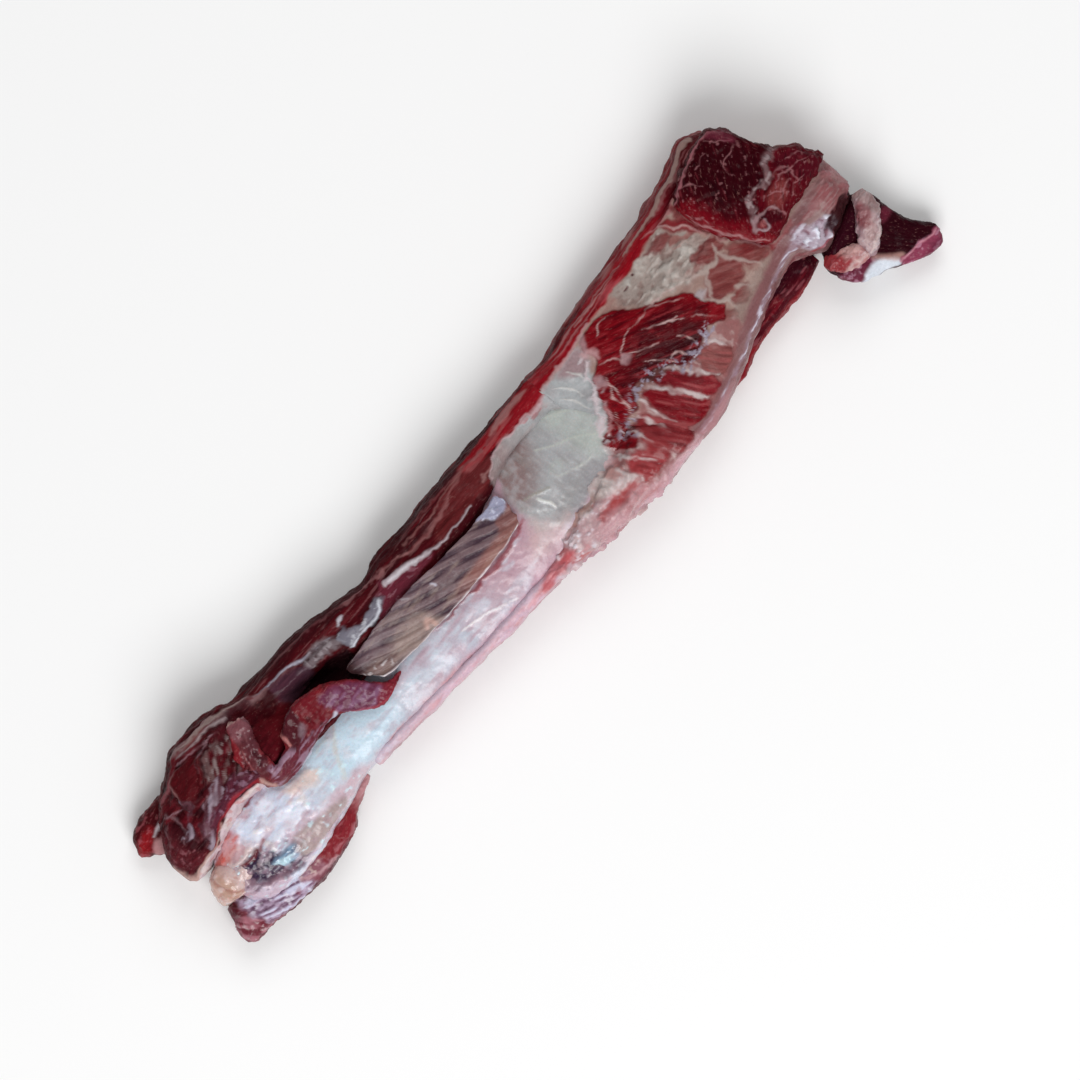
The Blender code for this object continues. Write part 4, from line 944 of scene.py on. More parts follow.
side.lay(grey_smear * side.spots(1.8, 0.35, 96) * 0.7, (158, 148, 152), lean=0, rise=0.3)
side.lay(grey_smear * side.spots(1.5, 0.2, 97) * 0.7, (56, 26, 32), rise=-0.3)
side.patch([(-71, 23.6), (-69.5, 29), (-64, 27.6), (-60, 25.6), (-52, 26.2), (-50.5, 24.6), (-56, 22.8),
    (-64, 22.6)], (118, 116, 128), 0.9, soft=0.7, ragged=2.4, lean=0, film=1, rise=0.6)
side.lay(side.area([(-71, 24), (-69, 29), (-60, 26), (-51, 26), (-54, 22.6)], 0.8, 2)
    * side.spots(1.4, 0.35, 98) * 0.8, (176, 176, 184), lean=0, film=1, rise=0.3)
side.stroke([(-70, 22.8), (-62, 22.6), (-55, 22.9), (-51.5, 25)], (0.5, 0.8, 0.5), (206, 208, 218), 0.9,
    soft=0.3, ragged=0.9, lean=0, rise=0.3)
side.stroke([(-67, 30.4), (-65, 31.8)], (0.8, 1.6), (180, 178, 186), 0.9, soft=0.4, ragged=1.4, lean=0,
    rise=0.3)
side.stroke([(-45, 27.4), (-42, 26.6), (-38, 25.8), (-33, 24.8), (-28, 22.6), (-22, 21.2), (-14, 20.7),
    (-5, 21.2)], (2.2, 2.6, 2, 1, 0.6, 0.7), (176, 164, 170), 0.9, soft=0.5, ragged=1.2, lean=0, film=1,
    rise=0.5)
side.stroke([(-44, 27), (-39, 26), (-33, 24.8), (-29, 23)], (0.6, 1, 0.6, 0.3), (208, 202, 208), 0.8,
    soft=0.4, ragged=0.9)
side.stroke([(4, 24), (14, 25), (22, 27.4)], (0.6, 1.4, 0.8), (150, 108, 106), 0.6, ragged=1.4, lean=0.2)
# Painted shadow: the deep pocket behind the curled strip is painted near black.
side.patch([(-98, 27), (-90, 27.6), (-82, 26.4), (-74, 24.6), (-71, 22), (-72, 12), (-78, 12), (-96, 16)],
    (24, 8, 12), 0.96, soft=1.2, ragged=0.9, lean=0.6)
side.patch([(-101, 36), (-92, 35), (-84, 31.6), (-86, 28), (-98, 27.6), (-103, 31)], (74, 46, 60), 0.8,
    soft=1.2, ragged=1.6, lean=0.6, film=0.8)
side.stroke([(-117.4, 18.8), (-115.6, 18.4)], 2.6, (180, 118, 120), 0.8, soft=0.5, lean=0, rise=0.9)
side.patch([(-119, 33), (-110, 36), (-101, 34), (-101, 25), (-106, 17), (-112, 12), (-119, 13)], (84, 14, 21),
    0.9, soft=1.6, lean=0.9, film=0)
# Painted shadow beside the right edge of the curl's upright limb, darker than the red meat round it.
side.patch([(-112, 37), (-104, 37), (-99, 35), (-102, 30), (-111, 31)], (50, 8, 14), 0.9, soft=1.2,
    ragged=1.6, lean=1, film=0)
lobe = 1 - ramp(side.x, -116, -106)
side.lay(lobe * 0.85, (66, 13, 20))
lobe_bands = grit(side.place, (9, 1.6, 3), 86) + 0.5 * grit(side.place, (5, 0.8, 2), 87)
side.lay(lobe * ramp(lobe_bands, 0.1, 0.7) * 0.6, (104, 26, 36), rise=0.5)
side.lay(lobe * ramp(-lobe_bands, 0.15, 0.7) * 0.8, (34, 6, 11), rise=-0.6)
side.patch([(-161, 41), (-158, 38), (-150, 39), (-144, 43), (-138, 46.6), (-150, 44)], (92, 24, 32), 0.8,
    soft=0.9, ragged=1.2, rise=0.3)
side.lay(lobe * ramp(side.x, -166, -160) * ramp(side.spots((7, 2.2, 3), 0.25, 85), 0.2, 0.9) * 0.5,
    (90, 16, 26), rise=0.4)
side.patch([(-147, 41.4), (-141, 43), (-131, 39.4), (-133, 36), (-138, 33), (-146, 31.6), (-151, 31),
    (-148, 36)], (78, 16, 22), 0.9, soft=0.6, ragged=1, rise=1.1)
side.stroke([(-148, 35), (-146.6, 40.6), (-143, 42.6), (-140, 43)], (0.6, 0.9, 0.5), (140, 96, 96), 0.7,
    soft=0.4, lean=0.2)
side.patch([(-134, 42), (-122, 41), (-113, 37), (-120, 35), (-130, 38)], (62, 18, 24), 0.7, soft=1.2)
side.lay_grain(side.area([(-142, 30), (-132, 40), (-118, 40), (-118, 22), (-136, 21)], 1), 44)
crumbs = side.area([(-138, 33), (-132, 37.6), (-126, 39), (-120, 36), (-120, 30), (-126, 24), (-132, 23),
    (-134, 28)], 1.4, 2.6)
side.lay(crumbs * ramp(grit(side.grain, (4.5, 1.3, 1.6), 88), 0, 0.4) * 0.75, (104, 82, 82), lean=0, rise=0.8)
side.lay(crumbs * ramp(grit(side.grain, (2.4, 0.8, 1), 89), 0.3, 0.6) * 0.7, (142, 126, 126), lean=0,
    rise=0.4)
side.patch([(-161, 30), (-155, 31), (-154, 24), (-156, 18), (-161, 19)], (46, 12, 18), 0.8, soft=1.4,
    ragged=1.6)
side.stroke([(-156, 37), (-155, 32), (-156, 27), (-159, 24)], (0.5, 1.2, 0.7, 0.4), (122, 92, 98), 0.7,
    soft=0.5, ragged=1.4, lean=0.1, rise=0.3)
for points in ([(-166, 38), (-159, 36.4), (-151, 33)], [(-149, 21), (-143, 25.4), (-136, 30)],
        [(-153, 19.6), (-148, 24), (-141, 29)], [(-141, 44.6), (-131, 42.4), (-121, 40)],
        [(-137, 37), (-131, 40), (-124, 41)], [(-166, 24), (-163, 29), (-158, 33)],
        [(-134, 20), (-129, 22), (-125, 21)]):
    mask = side.line(points, (0.2, 0.9, 0.4), 0.4, 1.8) * (0.3 + 0.7 * side.spots(2.4, 0.5, 100))
    side.lay(mask * 0.75, (150, 116, 124), lean=0.2, rise=0.3)
for points in ([(-151, 42), (-148.6, 36), (-150, 31)], [(-139, 31.6), (-134, 37), (-126, 40)],
        [(-161, 35), (-156, 30), (-157, 24)], [(-146, 20.6), (-139, 23), (-131, 24.6)],
        [(-165, 28), (-161, 25), (-160, 20)]):
    side.stroke(points, (0.3, 1.3, 0.4), (34, 5, 11), 0.75, soft=0.6, ragged=1.8, rise=-0.6)
for outline in ([(-156, 17), (-153, 21), (-148, 25), (-143, 28), (-137, 30), (-133, 29), (-138, 26),
        (-144, 23), (-149, 19), (-151, 16)], [(-158, 26), (-152, 28), (-147, 32), (-149, 36), (-150, 30),
        (-155, 24)]):
    mask = side.patch(outline, (98, 66, 76), 0.8, soft=1.2, ragged=2.6, lean=0.1, film=0.5, rise=0.5)
    side.lay_grain(mask, 38)
    strands = grit(side.grain, (11, 1.1, 2), 90) * (mask > 0.2)
    side.lay(mask * ramp(strands, 0, 0.4) * 0.85, (162, 148, 162), rise=0.5)
    side.lay(mask * ramp(-strands, 0.1, 0.4) * 0.75, (60, 16, 26), rise=-0.3)
side.patch([(-150, 22), (-140, 24.6), (-128, 24), (-124, 17), (-136, 17.5), (-148, 18.4)], (92, 42, 58), 0.75,
    soft=1.4, ragged=1.6)
side.lay(side.area([(-150, 22), (-128, 25), (-124, 18), (-148, 18)], 1.2, 1.6) * side.spots(1.1, 0.22, 96)
    * 0.6, (150, 116, 136), lean=0.2, rise=0.2)
side.patch([(-168, 33), (-160, 32), (-160, 22), (-158, 17), (-166, 16), (-170, 22)], (86, 28, 36), 0.7,
    soft=1.6, lean=1)
side.lay(side.area([(-168, 24), (-158, 24), (-156, 16), (-168, 16)], 2) * side.spots(1.6, 0.25, 91) * 0.6,
    (140, 84, 92))
side.stroke([(-169, 22), (-168.5, 17), (-166, 13.2), (-160, 14.2), (-152, 14.8), (-146, 17)],
    (1.4, 2.2, 2.2, 1.6, 1), (190, 156, 148), 0.85, soft=0.8, ragged=1.2, lean=0)
side.stroke([(-153, 15.6), (-147, 17.8), (-140, 18.8), (-130, 18), (-124, 16)], 1.5, (150, 40, 48), 0.85,
    soft=0.7, ragged=1.4, lean=0.7)
rim = np.interp(side.x, [-170, -166, -160, -152, -147, -140, -128, -120, -112, -104],
    [15, 12.4, 13.4, 13.8, 16.4, 17, 16.4, 13.5, 11, 9])
tissue = ramp(rim - side.y + 0.5 * side.wave_y, -0.3, 0.7) * (1 - ramp(side.x, -108, -100))
side.lay(tissue, (206, 186, 192), lean=0)
side.lay(tissue * side.spots(3, 0.4, 97) * 0.6, (216, 200, 196), lean=0, rise=0.4)
side.lay(tissue * side.spots(2, 0.2, 98) * 0.6, (190, 120, 120), lean=0)
side.patch([(-139, 50.5), (-137, 47.6), (-130, 46), (-120, 43), (-112, 39.4), (-104, 36.4), (-99, 35.6),
    (-104, 38.6), (-110, 42.6), (-118, 46), (-124, 51)], (126, 94, 96), 0.95, soft=0.9, ragged=2, lean=0,
    film=0.6, rise=0.4)
side.lay(side.line([(-136, 47), (-126, 46), (-116, 42), (-106, 37.4)], 4, 1, 2)
    * side.spots((4, 1.2, 2), 0.35, 78) * 0.8, (100, 44, 50), lean=0.5)
side.lay(side.line([(-121, 42.4), (-114, 40.6), (-108, 38.4)], 2.6, 0.9, 1.6) * 0.7, (62, 24, 32), lean=0.9)
side.patch([(-134, 46.6), (-128, 47.8), (-122, 46.6), (-128, 45.6)], (120, 60, 60), 0.7, soft=0.6, lean=0.6)
side.stroke([(-138, 47), (-132, 45.4), (-124, 44.4), (-116, 41)], (0.3, 0.9, 0.6), (176, 160, 162), 0.7,
    soft=0.5, ragged=1.4, lean=0, rise=0.3)
side.stroke([(-137, 48.6), (-129, 48.4), (-121, 46.8), (-113, 43.4), (-108, 41)], (0.8, 2.8, 2.6, 1.6),
    (150, 128, 124), 0.8, soft=0.7, ragged=1.2, lean=0, film=0.5)
side.stroke([(-159, 43), (-150, 42.4), (-142, 43.6)], (0.6, 1.8, 0.8), (136, 80, 86), 0.75, soft=0.6,
    ragged=1.6, lean=0.2)
seen_through = side.area([(4, 0), (4.4, 14), (5, 19.6), (7, 22.6), (11, 24.8), (18, 26.8), (27, 25.6),
    (34, 24.8), (42, 26), (50, 27), (50, 10), (50, -20), (4, -20)], 0.7, 1.4)
side.lay(seen_through, WINDOW, lean=0, film=0.4)
side.lay(seen_through * (1 - ramp(side.x, 12, 30)) * 0.7, WINDOW_BROWN)
side.lay(seen_through * side.streaks((2.5, 5, 4), 20, 0.1, 0.6) * 0.5, (148, 142, 142))
side.lay(seen_through * side.clouds((5, 3, 4), 99, 0, 0.5) * 0.5, (176, 160, 158))
side.stroke([(6, 21.6), (11, 24.8), (18, 27), (27, 25.8), (34, 25), (44, 26.2)], (0.3, 0.6, 1.1, 0.7, 1.2, 1),
    (190, 160, 164), 0.75, soft=0.5, ragged=1.9, lean=0, rise=0.4)
side.lay(side.line([(18, 26.6), (27, 24.8), (34, 24), (46, 25.2)], 3, 1.2, 1.8)
    * side.spots((3, 1.2, 2), 0.35, 64) * 0.7, (168, 112, 116))
lay_flank(side)
bundles = grit(side.grain, (24, 2.6, 4), 92)
side.rise += (0.45 * bundles * (1 - lobe) + 0.3 * rough(side.place, 2.4, 93)
    + 0.6 * lobe * rough(side.place, 5, 94))
side.rise += 0.6 * (1 - ramp(side.place[:, 2], 16, 24)) * rough(side.place, (6, 4, 4), 67)
side.rise += 0.14 * side.lean * grit(side.grain, (7, 0.8, 0.9), 95)
side_finish = flesh("dark_side_muscle", fibre=0.6, fleck=0.12, mottle=0.45, dry=0.38, wet=0.02, soak=0.01,
    ridge=1.0, shine=0.03)
build("long_side_muscle", side, side_finish, ["rib_meat"])

# The thick dark muscle on top of the meaty end. It was cut square, so it stands up as a step with a bright
# rim, is close to black inside, and is flecked and veined with pale fat. A seam parts it from a redder one.

TOP_MUSCLE = [(119.5, 23, 30, 25, 29), (121.5, 14, 32.5, 24, 31), (125, 7, 35, 23, 32.3),
    (129.5, -1, 37.5, 22, 33.2), (134, -2.8, 38.8, 21, 33.6), (141, -2, 39.8, 20, 33.6),
    (147, -1, 40.8, 20, 33.2), (151, -0.5, 36, 20, 33), (154, 0, 26.5, 20, 32.6), (157, 0.3, 20.5, 20, 32),
    (161, 0.6, 16, 20, 31), (165, 1.5, 8.2, 21, 29), (167.2, 3, 5, 23, 26.5)]
TOP_RELIEF = [(143, 10.5, 15, 1.8, 24, -1.2), (134, 22, 8, 7, 0, 0.8), (152, 8, 8, 5, 0, 0.7)]
block = Skin(bar(TOP_MUSCLE, np.arange(119.5, 167.2, 0.35), count=230, power=3.6, hills=TOP_RELIEF),
    (62, 5, 14), lean=1, grain=58)
block.patch([(128, 37), (140, 38), (149, 34), (152, 26), (155, 20), (146, 14), (136, 14), (130, 22)],
    BLACK_RED, 0.75, soft=5)
block.patch([(119, 30), (122, 31), (126, 26), (126, 18), (131, 10), (136, 2), (141, -6), (128, -6),
    (118, 16)], (112, 10, 23), 0.85, soft=2.2, ragged=2)
block.stroke([(120, 28), (120.5, 22), (122.5, 15), (126, 8), (129.5, 1), (132, -2.5)], (1.6, 2, 2.4, 2),
    (130, 40, 46), 0.6, soft=1, ragged=1.4, lean=0.8)
block.stroke([(121, 26), (120.8, 20), (122.6, 14), (125.6, 8.6), (129, 2.4), (131.6, -2)],
    (0.2, 0.7, 0.8, 0.4), (172, 126, 128), 0.75, soft=0.3, ragged=1.3, lean=0.1)
right = block.patch([(135, 4), (140, 11), (147, 12.5), (155, 17), (160, 18), (170, 10), (170, -6), (138, -6)],
    (86, 8, 20), 0.9, soft=1, ragged=1.6)
block.lay_grain(right, 40)
block.patch([(152, 12), (158, 15), (166, 8), (164, 1), (156, 2)], (74, 14, 26), 0.7, soft=2)
block.patch([(136, 6), (139, 5), (142, 1), (139, 0), (136, 2)], (48, 9, 18), 0.85, soft=0.6, ragged=1.2)
block.patch([(140, 7), (146, 10), (151, 9), (148, 4), (143, 2)], (122, 54, 54), 0.75, soft=1.6, ragged=1.8)
strands = grit(block.grain, (7, 0.8, 1.2), 105) + 0.5 * grit(block.grain, (3, 0.5, 0.8), 106)
block.lay(ramp(strands, 0.5, 0.9) * 0.4, (126, 48, 56), rise=0.1)
block.lay(ramp(-strands, 0.4, 0.9) * 0.5, (28, 4, 10), rise=-0.12)
seam = block.line([(131.6, 3.4), (134, 7), (136.4, 10.4), (138, 12), (142, 12.4), (148, 14), (153, 16.6),
    (158, 17.6)], (1.0, 1.6, 2.6, 3.4, 1.4, 2.2, 3.0, 1.2), 0.8, 2.2)
block.lay(seam * 0.8, (120, 92, 95), lean=0, rise=0.2)
block.lay(seam * block.spots(1.6, 0.4, 107) * 0.75, (158, 140, 142), rise=0.3)
block.stroke([(131.4, 3.6), (132.6, 6), (135.4, 7), (138, 5.6), (140, 5.8), (141.6, 4), (141.4, 2)],
    (0.8, 1.6, 1.4, 1, 0.9, 0.9, 0.4), (150, 120, 124), 0.8, ragged=1.2, lean=0, rise=0.3)
block.stroke([(132, 3.4), (133.6, 2), (135.4, 2.2), (136.4, 4.4)], (0.8, 0.9, 0.8), (158, 136, 142), 0.8,
    ragged=1.2, lean=0, rise=0.3)
block.patch([(133.2, 3.4), (134.4, 5), (136, 4.6), (135.4, 3)], (150, 84, 86), 0.8, soft=0.5, ragged=0.8)
block.patch([(136.2, 3.6), (139, 4.6), (141.6, 3.2), (141, 0.6), (137, 1)], (66, 8, 18), 0.85, soft=0.7,
    ragged=1.2)
VEINS = [[(147, 9), (151, 10.5), (155.5, 9), (160, 7.6), (164, 6)], [(155.5, 9), (154.6, 6.4), (156, 3)],
    [(157, 12), (160, 11), (164, 8.4)], [(145, 5), (150, 7), (153, 6.6)], [(148, 2), (153, 4), (158, 3.6)],
    [(143, 9), (146, 8), (149, 5.6)], [(150, 12.5), (154, 11), (156, 9)],
    [(127, 34), (129.5, 32.4), (131, 28.6)], [(127, 34.4), (133, 36.6), (138, 38)],
    [(140, 24), (143, 28), (149, 29.4)], [(133.6, 34), (136, 33.6), (138, 35.4), (141, 34.8)],
    [(144, 38.4), (147, 34), (150, 31), (149, 36)], [(141, 3), (143, 0), (141, -1)],
    [(121, 26), (122, 20), (121.6, 16)], [(124, 8), (128, 3), (129, -1)]]
whole = block.streaks(2.2, 108, -0.5, 0.2)
for points in VEINS:
    block.lay(block.line(points, (0.1, 0.5, 0.35, 0.1), 0.25, 1.6) * (0.2 + 0.55 * whole), (152, 102, 106),
        lean=0.2)
block.stroke([(121, 31.6), (127, 34.8), (135, 38), (142, 39.4), (147, 38.6), (150.6, 35)], (0.6, 1, 0.6),
    (158, 98, 106), 0.8, soft=0.4, ragged=1.1, lean=0.2, rise=0.2)
block.patch([(145, 39), (151, 37), (152, 31), (149, 30), (147, 35)], (104, 40, 56), 0.7, soft=0.9, ragged=1.4)
specks = ramp(grit(block.grain, (1.5, 0.7, 0.8), 101), 0.58, 0.75)
block.lay(specks * 0.5, (156, 104, 108))
block.rise += 0.3 * rough(block.place, 3.0, 102) + 0.16 * grit(block.grain, (4, 0.8, 0.8), 103)
block.rise += 1.5 * (1 - ramp(block.place[:, 2], 29, 32)) * rough(block.place, (3.6, 3.6, 6), 109)
block.rise += 0.35 * ramp(block.place[:, 2], 30, 32) * grit(block.place, (1.4, 1.4, 1.4), 104)
block_finish = flesh("dark_cut_muscle", fibre=0.5, fleck=0.16, mottle=0.4, dry=0.36, wet=0.03, soak=0.01,
    ridge=0.9, shine=0.04)
build("dark_top_muscle", block, block_finish, ["top_muscle"])

# The dark strip that peeps out under the right edge of the meaty end. It is a lower layer of muscle, cut
# off ragged, deep maroon in the shadow of the ledge and bright red along its lower edge.

UNDER_STRIP = [
    (84, -24.5, -21, 1, 8), (90, -24.8, -17, -1, 11), (100, -22.4, -13, -1, 13), (112, -21.5, -10, -1, 14),
    (124, -21.9, -8, -1, 14.5), (134, -21, -8, -1, 14.5), (138.5, -20, -10, 1, 12),
]
under = Skin(bar(UNDER_STRIP, np.arange(84, 138.5, 0.4), count=110, power=3), (74, 12, 23), lean=1, grain=8)
under.lay(under.streaks((7, 1.2, 2), 111, 0.1, 0.6) * 0.5, (128, 26, 38))
under.lay((1 - ramp(under.y, -21.6, -20)) * 0.7, (142, 32, 40))
# Painted shadow of the ledge: the strip's upper part under the meaty end is painted near black maroon.
under.patch([(112, -8), (140, -6), (140, -17.5), (130, -17), (120, -16), (112, -15)], (46, 8, 20), 0.85,
    soft=1.6, ragged=1.6)
under.lay(under.streaks((5, 0.8, 1), 112, 0.4, 0.7) * 0.5, (150, 80, 88))
under.lay(under.line([(84, -21), (104, -17), (124, -12), (138, -8)], 1.6, 0.6, 1.4) * 0.6, (110, 80, 104))
under.rise += 0.6 * rough(under.place, 3, 113)
build("dark_under_strip", under, block_finish, ["under_strip"])

# The loose flap of silverskin over the bone: a thin translucent sheet, brown-grey with slanting purple
# stripes of the muscle it was pulled from, a bright white torn edge and a crinkled bluish end.

FLAP_X = [-77, -75, -73, -71, -70, -60, -45, -30, -15, 0, 5]
FLAP_EDGE_RIGHT = [16.8, 13.5, 10.6, 7.8, 6.9, 4.8, 3.4, 2.6, 2.6, 4.0, 11.5]
FLAP_EDGE_LEFT = [19.2, 19.8, 20.0, 20.0, 20.0, 20.8, 20.4, 18.6, 17.0, 16.6, 17.4]
FLAP_THICKNESS = 1.8
STRIPE_TURN = -24                   # degrees from the rib's length
STRIPE_SPACING = 4.3                # mm
FLAP_ACROSS = 46                    # points from edge to edge
SMOOTHING = 12                      # rounds that take the facets out of its upper face
solid_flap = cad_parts["membrane_flap"]


def flap_top(x, y):
    """The height of the solid flap's upper face at a place of the plan, in mm, or nothing beside it."""
    start = Vector(((x + FRAME_SHIFT[0]) * MM, (y + FRAME_SHIFT[1]) * MM, 1))
    hit, place, _, _ = solid_flap.ray_cast(start, Vector((0, 0, -1)))
    return place.z / MM if hit else math.nan


along = np.arange(-76.9, 4.9, 0.45)
right_edge = smooth_track(along, FLAP_X, FLAP_EDGE_RIGHT)
left_edge = smooth_track(along, FLAP_X, FLAP_EDGE_LEFT)
share = np.linspace(0.02, 0.98, FLAP_ACROSS)
flap_x = np.repeat(along[:, None], FLAP_ACROSS, axis=1)
flap_y = right_edge[:, None] + (left_edge - right_edge)[:, None] * share
level = np.array([[flap_top(x, y) for x, y in zip(*row)] for row in zip(flap_x, flap_y)])
level = np.where(np.isnan(level), np.nanmedian(level, axis=1)[:, None], level)
for _ in range(SMOOTHING):
    level[1:-1] = (level[:-2] + 2 * level[1:-1] + level[2:]) / 4
    level[:, 1:-1] = (level[:, :-2] + 2 * level[:, 1:-1] + level[:, 2:]) / 4
fringe = grit(np.stack([flap_y, flap_x, level], axis=2).reshape(-1, 3),
    (1.9, 9, 9), 129).reshape(flap_x.shape)
flap_x += 1.3 * (fringe - 0.6) * ramp(flap_x, 1.5, 4.5)
over = np.stack([flap_x, flap_y, level], axis=2)
thin = FLAP_THICKNESS * np.clip(np.sin(np.pi * share) * 4, 0.35, 1)
beneath = over - np.array([0, 0, 1]) * thin[None, :, None]
flap = Skin(np.concatenate([beneath[:, ::2], over[:, ::-1]], axis=1), (108, 86, 91), lean=0.35,
    grain=STRIPE_TURN, unrolled=False)
slant = math.radians(STRIPE_TURN)
stripe_across = -flap.x * math.sin(slant) + flap.y * math.cos(slant)
bend = 1.4 * grit(flap.place, (18, 6, 6), 121)
stripes = 0.5 + 0.5 * np.sin((stripe_across + 0.7 * bend) * 2 * math.pi / STRIPE_SPACING)
patchy = flap.clouds((18, 5, 5), 122, -0.9, -0.1)
flap.lay(ramp(stripes, 0.35, 0.8) * patchy, (66, 46, 57), rise=-0.35)
flap.lay(flap.spots((9, 2, 3), 0.3, 123) * 0.45, (146, 126, 118))
flap.lay(ramp(grit(flap.grain, (14, 0.7, 1), 126), 0.2, 0.6) * 0.4, (150, 130, 130))
flap.patch([(-62, 5), (-60, 12), (-50, 13), (-43, 9), (-43, 4), (-55, 4)], (166, 144, 134), 0.55, soft=3,
    ragged=2)
flap.patch([(-74, 8), (-74, 14), (-66, 13), (-62, 8), (-68, 5)], (124, 98, 92), 0.6, soft=2)
# Painted shadow: the flap's left end, beside the pocket under the curl, is darkened.
flap.lay((1 - ramp(flap.x, -76, -70)) * 0.9, (50, 26, 28))
flap.lay(flap.area([(-75, 12), (-70, 9), (-64, 7), (-66, 11), (-72, 14)], 1) * flap.spots(1.3, 0.3, 127)
    * 0.8, (190, 182, 184), rise=0.3)
flap.patch([(-72, 19), (-50, 21), (-30, 19), (-30, 16), (-50, 17), (-70, 15)], (112, 92, 100), 0.3, soft=2)
flap.lay((1 - ramp(flap.y, 6, 8.5)) * ramp(flap.x, -40, -20) * 0.5, (170, 112, 100))
flap.patch([(-9, 17.5), (-2, 17), (5, 18), (5, 13), (0, 11), (-3, 11.5), (-6, 14.5)], (160, 160, 184), 0.9,
    soft=0.8, ragged=1.8, lean=0, film=1, rise=0.4)
flap.lay(flap.area([(-9, 18), (5, 18), (5, 12), (-4, 12)], 0.8, 1.4) * flap.spots(1.4, 0.4, 128) * 0.8,
    (196, 198, 218), film=1, rise=0.4)
flap.patch([(2, 18), (5, 18), (5, 15.6), (3, 16)], (176, 110, 112), 0.8, soft=0.6, ragged=0.8)
flap.patch([(-5, 11), (0, 10.6), (4, 12), (3, 5), (-3, 4.4), (-6, 6)], (128, 84, 80), 0.8, soft=1, ragged=1.6)
flap.stroke([(-35.6, 14.8), (-34.6, 13.8)], 0.9, (186, 182, 194), 0.8, ragged=1, lean=0, rise=0.3)
flap.stroke([(-46, 19.4), (-44, 17.6)], 0.5, (160, 150, 156), 0.7, lean=0, rise=0.2)
flap.stroke([(-45, 5), (-46, 8), (-48, 6)], 1.6, (200, 160, 150), 0.7, soft=0.8)
white_edge = 1 - ramp(flap.y - np.interp(flap.x, along, right_edge) + 0.35 * flap.wave_y, 0.2, 0.8)
white_edge *= ramp(flap.x, -73.5, -71) * (1 - ramp(flap.x, -1, 1))
flap.lay(white_edge, (222, 212, 216), lean=0, film=0.6, rise=0.25)
ripple = ramp(flap.x, -12, -4)
flap.rise += 0.15 * rough(flap.place, (3, 1.6, 2), 124) + 0.5 * ripple * grit(flap.place, (2.2, 1.8, 2), 125)
flap_finish = flesh("silverskin_flap", fibre=0.5, fleck=0.2, mottle=0.4, dry=0.32, wet=0.12, soak=0.04,
    ridge=0.8, shine=0.2)
build("loose_silverskin_flap", flap, flap_finish, ["membrane_flap"])

# The strip of meat that stands on edge and curls into a loop: red outside, with a pale purple inner face,
# and torn at both ends.

CURL = [(-67, 3.8, 21.9, 0.9, 1.0, 62, 4), (-71.5, 3.2, 22.4, 2.1, 1.5, 62, 8),
    (-77, 5.6, 23.4, 4.8, 1.9, 62, 14), (-82.6, 12.0, 25, 6.4, 2, 62, 20),
    (-90, 17.4, 26.6, 6.6, 2.1, 78, 26), (-98, 19.2, 27.4, 7.4, 2.1, 98, 28),
    (-105, 17.2, 27.4, 7.0, 2.0, 112, 32), (-111, 14.0, 27.2, 5.2, 1.9, 96, 44),
    (-117.5, 13.4, 27.2, 4.6, 1.9, 72, 48), (-122.2, 16, 27.8, 4.6, 1.9, 20, 40),
    (-122.2, 21.5, 29, 4.6, 1.9, -8, 24), (-120.6, 28, 30, 4.7, 1.9, -20, 16),
    (-116.8, 34, 30.6, 4.4, 1.7, -28, 12), (-114.6, 38, 30.8, 3.2, 1.1, -30, 8)]


def finer(rows, count):
    """The rows of a table, smoothed into more of them."""
    rows = np.asarray(rows, float)
    at = np.linspace(0, len(rows) - 1, count)
    knots = np.arange(len(rows))
    return np.stack([smooth_track(at, knots, rows[:, c]) for c in range(rows.shape[1])], axis=1)


def strip(centres, sides, half_widths, half_thicknesses, count, power):
    """Rings of a strip along a path: each has its own width direction, width and thickness."""
    ahead = np.gradient(centres, axis=0)
    ups = np.cross(ahead, sides)
    ups /= np.linalg.norm(ups, axis=1)[:, None]
    wide, high = section(count, power, np.mean(half_widths), np.mean(half_thicknesses), 1.0)
    reach = half_widths[:, None, None] * wide[None, :, None] * sides[:, None, :]
    lift = half_thicknesses[:, None, None] * high[None, :, None] * ups[:, None, :]
    return centres[:, None, :] + reach + lift


rows = finer(CURL, 230)
heading = np.radians(rows[:, 5])
tilt = np.radians(rows[:, 6])
curl_sides = np.stack([np.cos(heading) * np.cos(tilt), np.sin(heading) * np.cos(tilt), np.sin(tilt)], axis=1)
curl_rings = strip(rows[:, :3], curl_sides, rows[:, 3], rows[:, 4], count=76, power=3.0)
curl_ahead = np.gradient(rows[:, :3], axis=0)
curl_ahead /= np.linalg.norm(curl_ahead, axis=1)[:, None]
curl_run = np.linspace(0, 1, len(rows))
torn = ramp(curl_run, 0.93, 1.0) + 1 - ramp(curl_run, 0.0, 0.05)
jags = grit(curl_rings.reshape(-1, 3), 1.9, 137).reshape(curl_rings.shape[:2])
curl_rings += (1.9 * torn[:, None] * jags)[:, :, None] * curl_ahead[:, None, :]
curl = Skin(curl_rings, (116, 28, 36), lean=0.9, unrolled=False)
curl.lay(curl.spots((4, 1.6, 3), 0.4, 131) * 0.5, (146, 40, 48))
curl.lay(curl.spots((3, 1.2, 3), 0.3, 132) * 0.6, (70, 16, 24))
curl.patch([(-128, 20), (-125, 28), (-120, 35), (-117, 41), (-110, 39), (-110, 35), (-115, 27), (-118, 20),
    (-121, 16)], (96, 46, 52), 0.9, soft=0.9, lean=0.3, film=0.8)
curl.patch([(-122, 18), (-121, 26), (-117, 33), (-112, 37), (-113, 30), (-117, 22)], (84, 42, 50), 0.7,
    soft=1.4, film=0.8)
curl.patch([(-121, 33), (-117, 39), (-112, 38), (-112, 34), (-117, 31)], (134, 84, 92), 0.6, soft=1.2,
    ragged=1.6)
curl.stroke([(-119, 27), (-116, 33), (-113, 36)], 0.5, (140, 90, 96), 0.4, soft=0.4, ragged=0.8, rise=0.3)
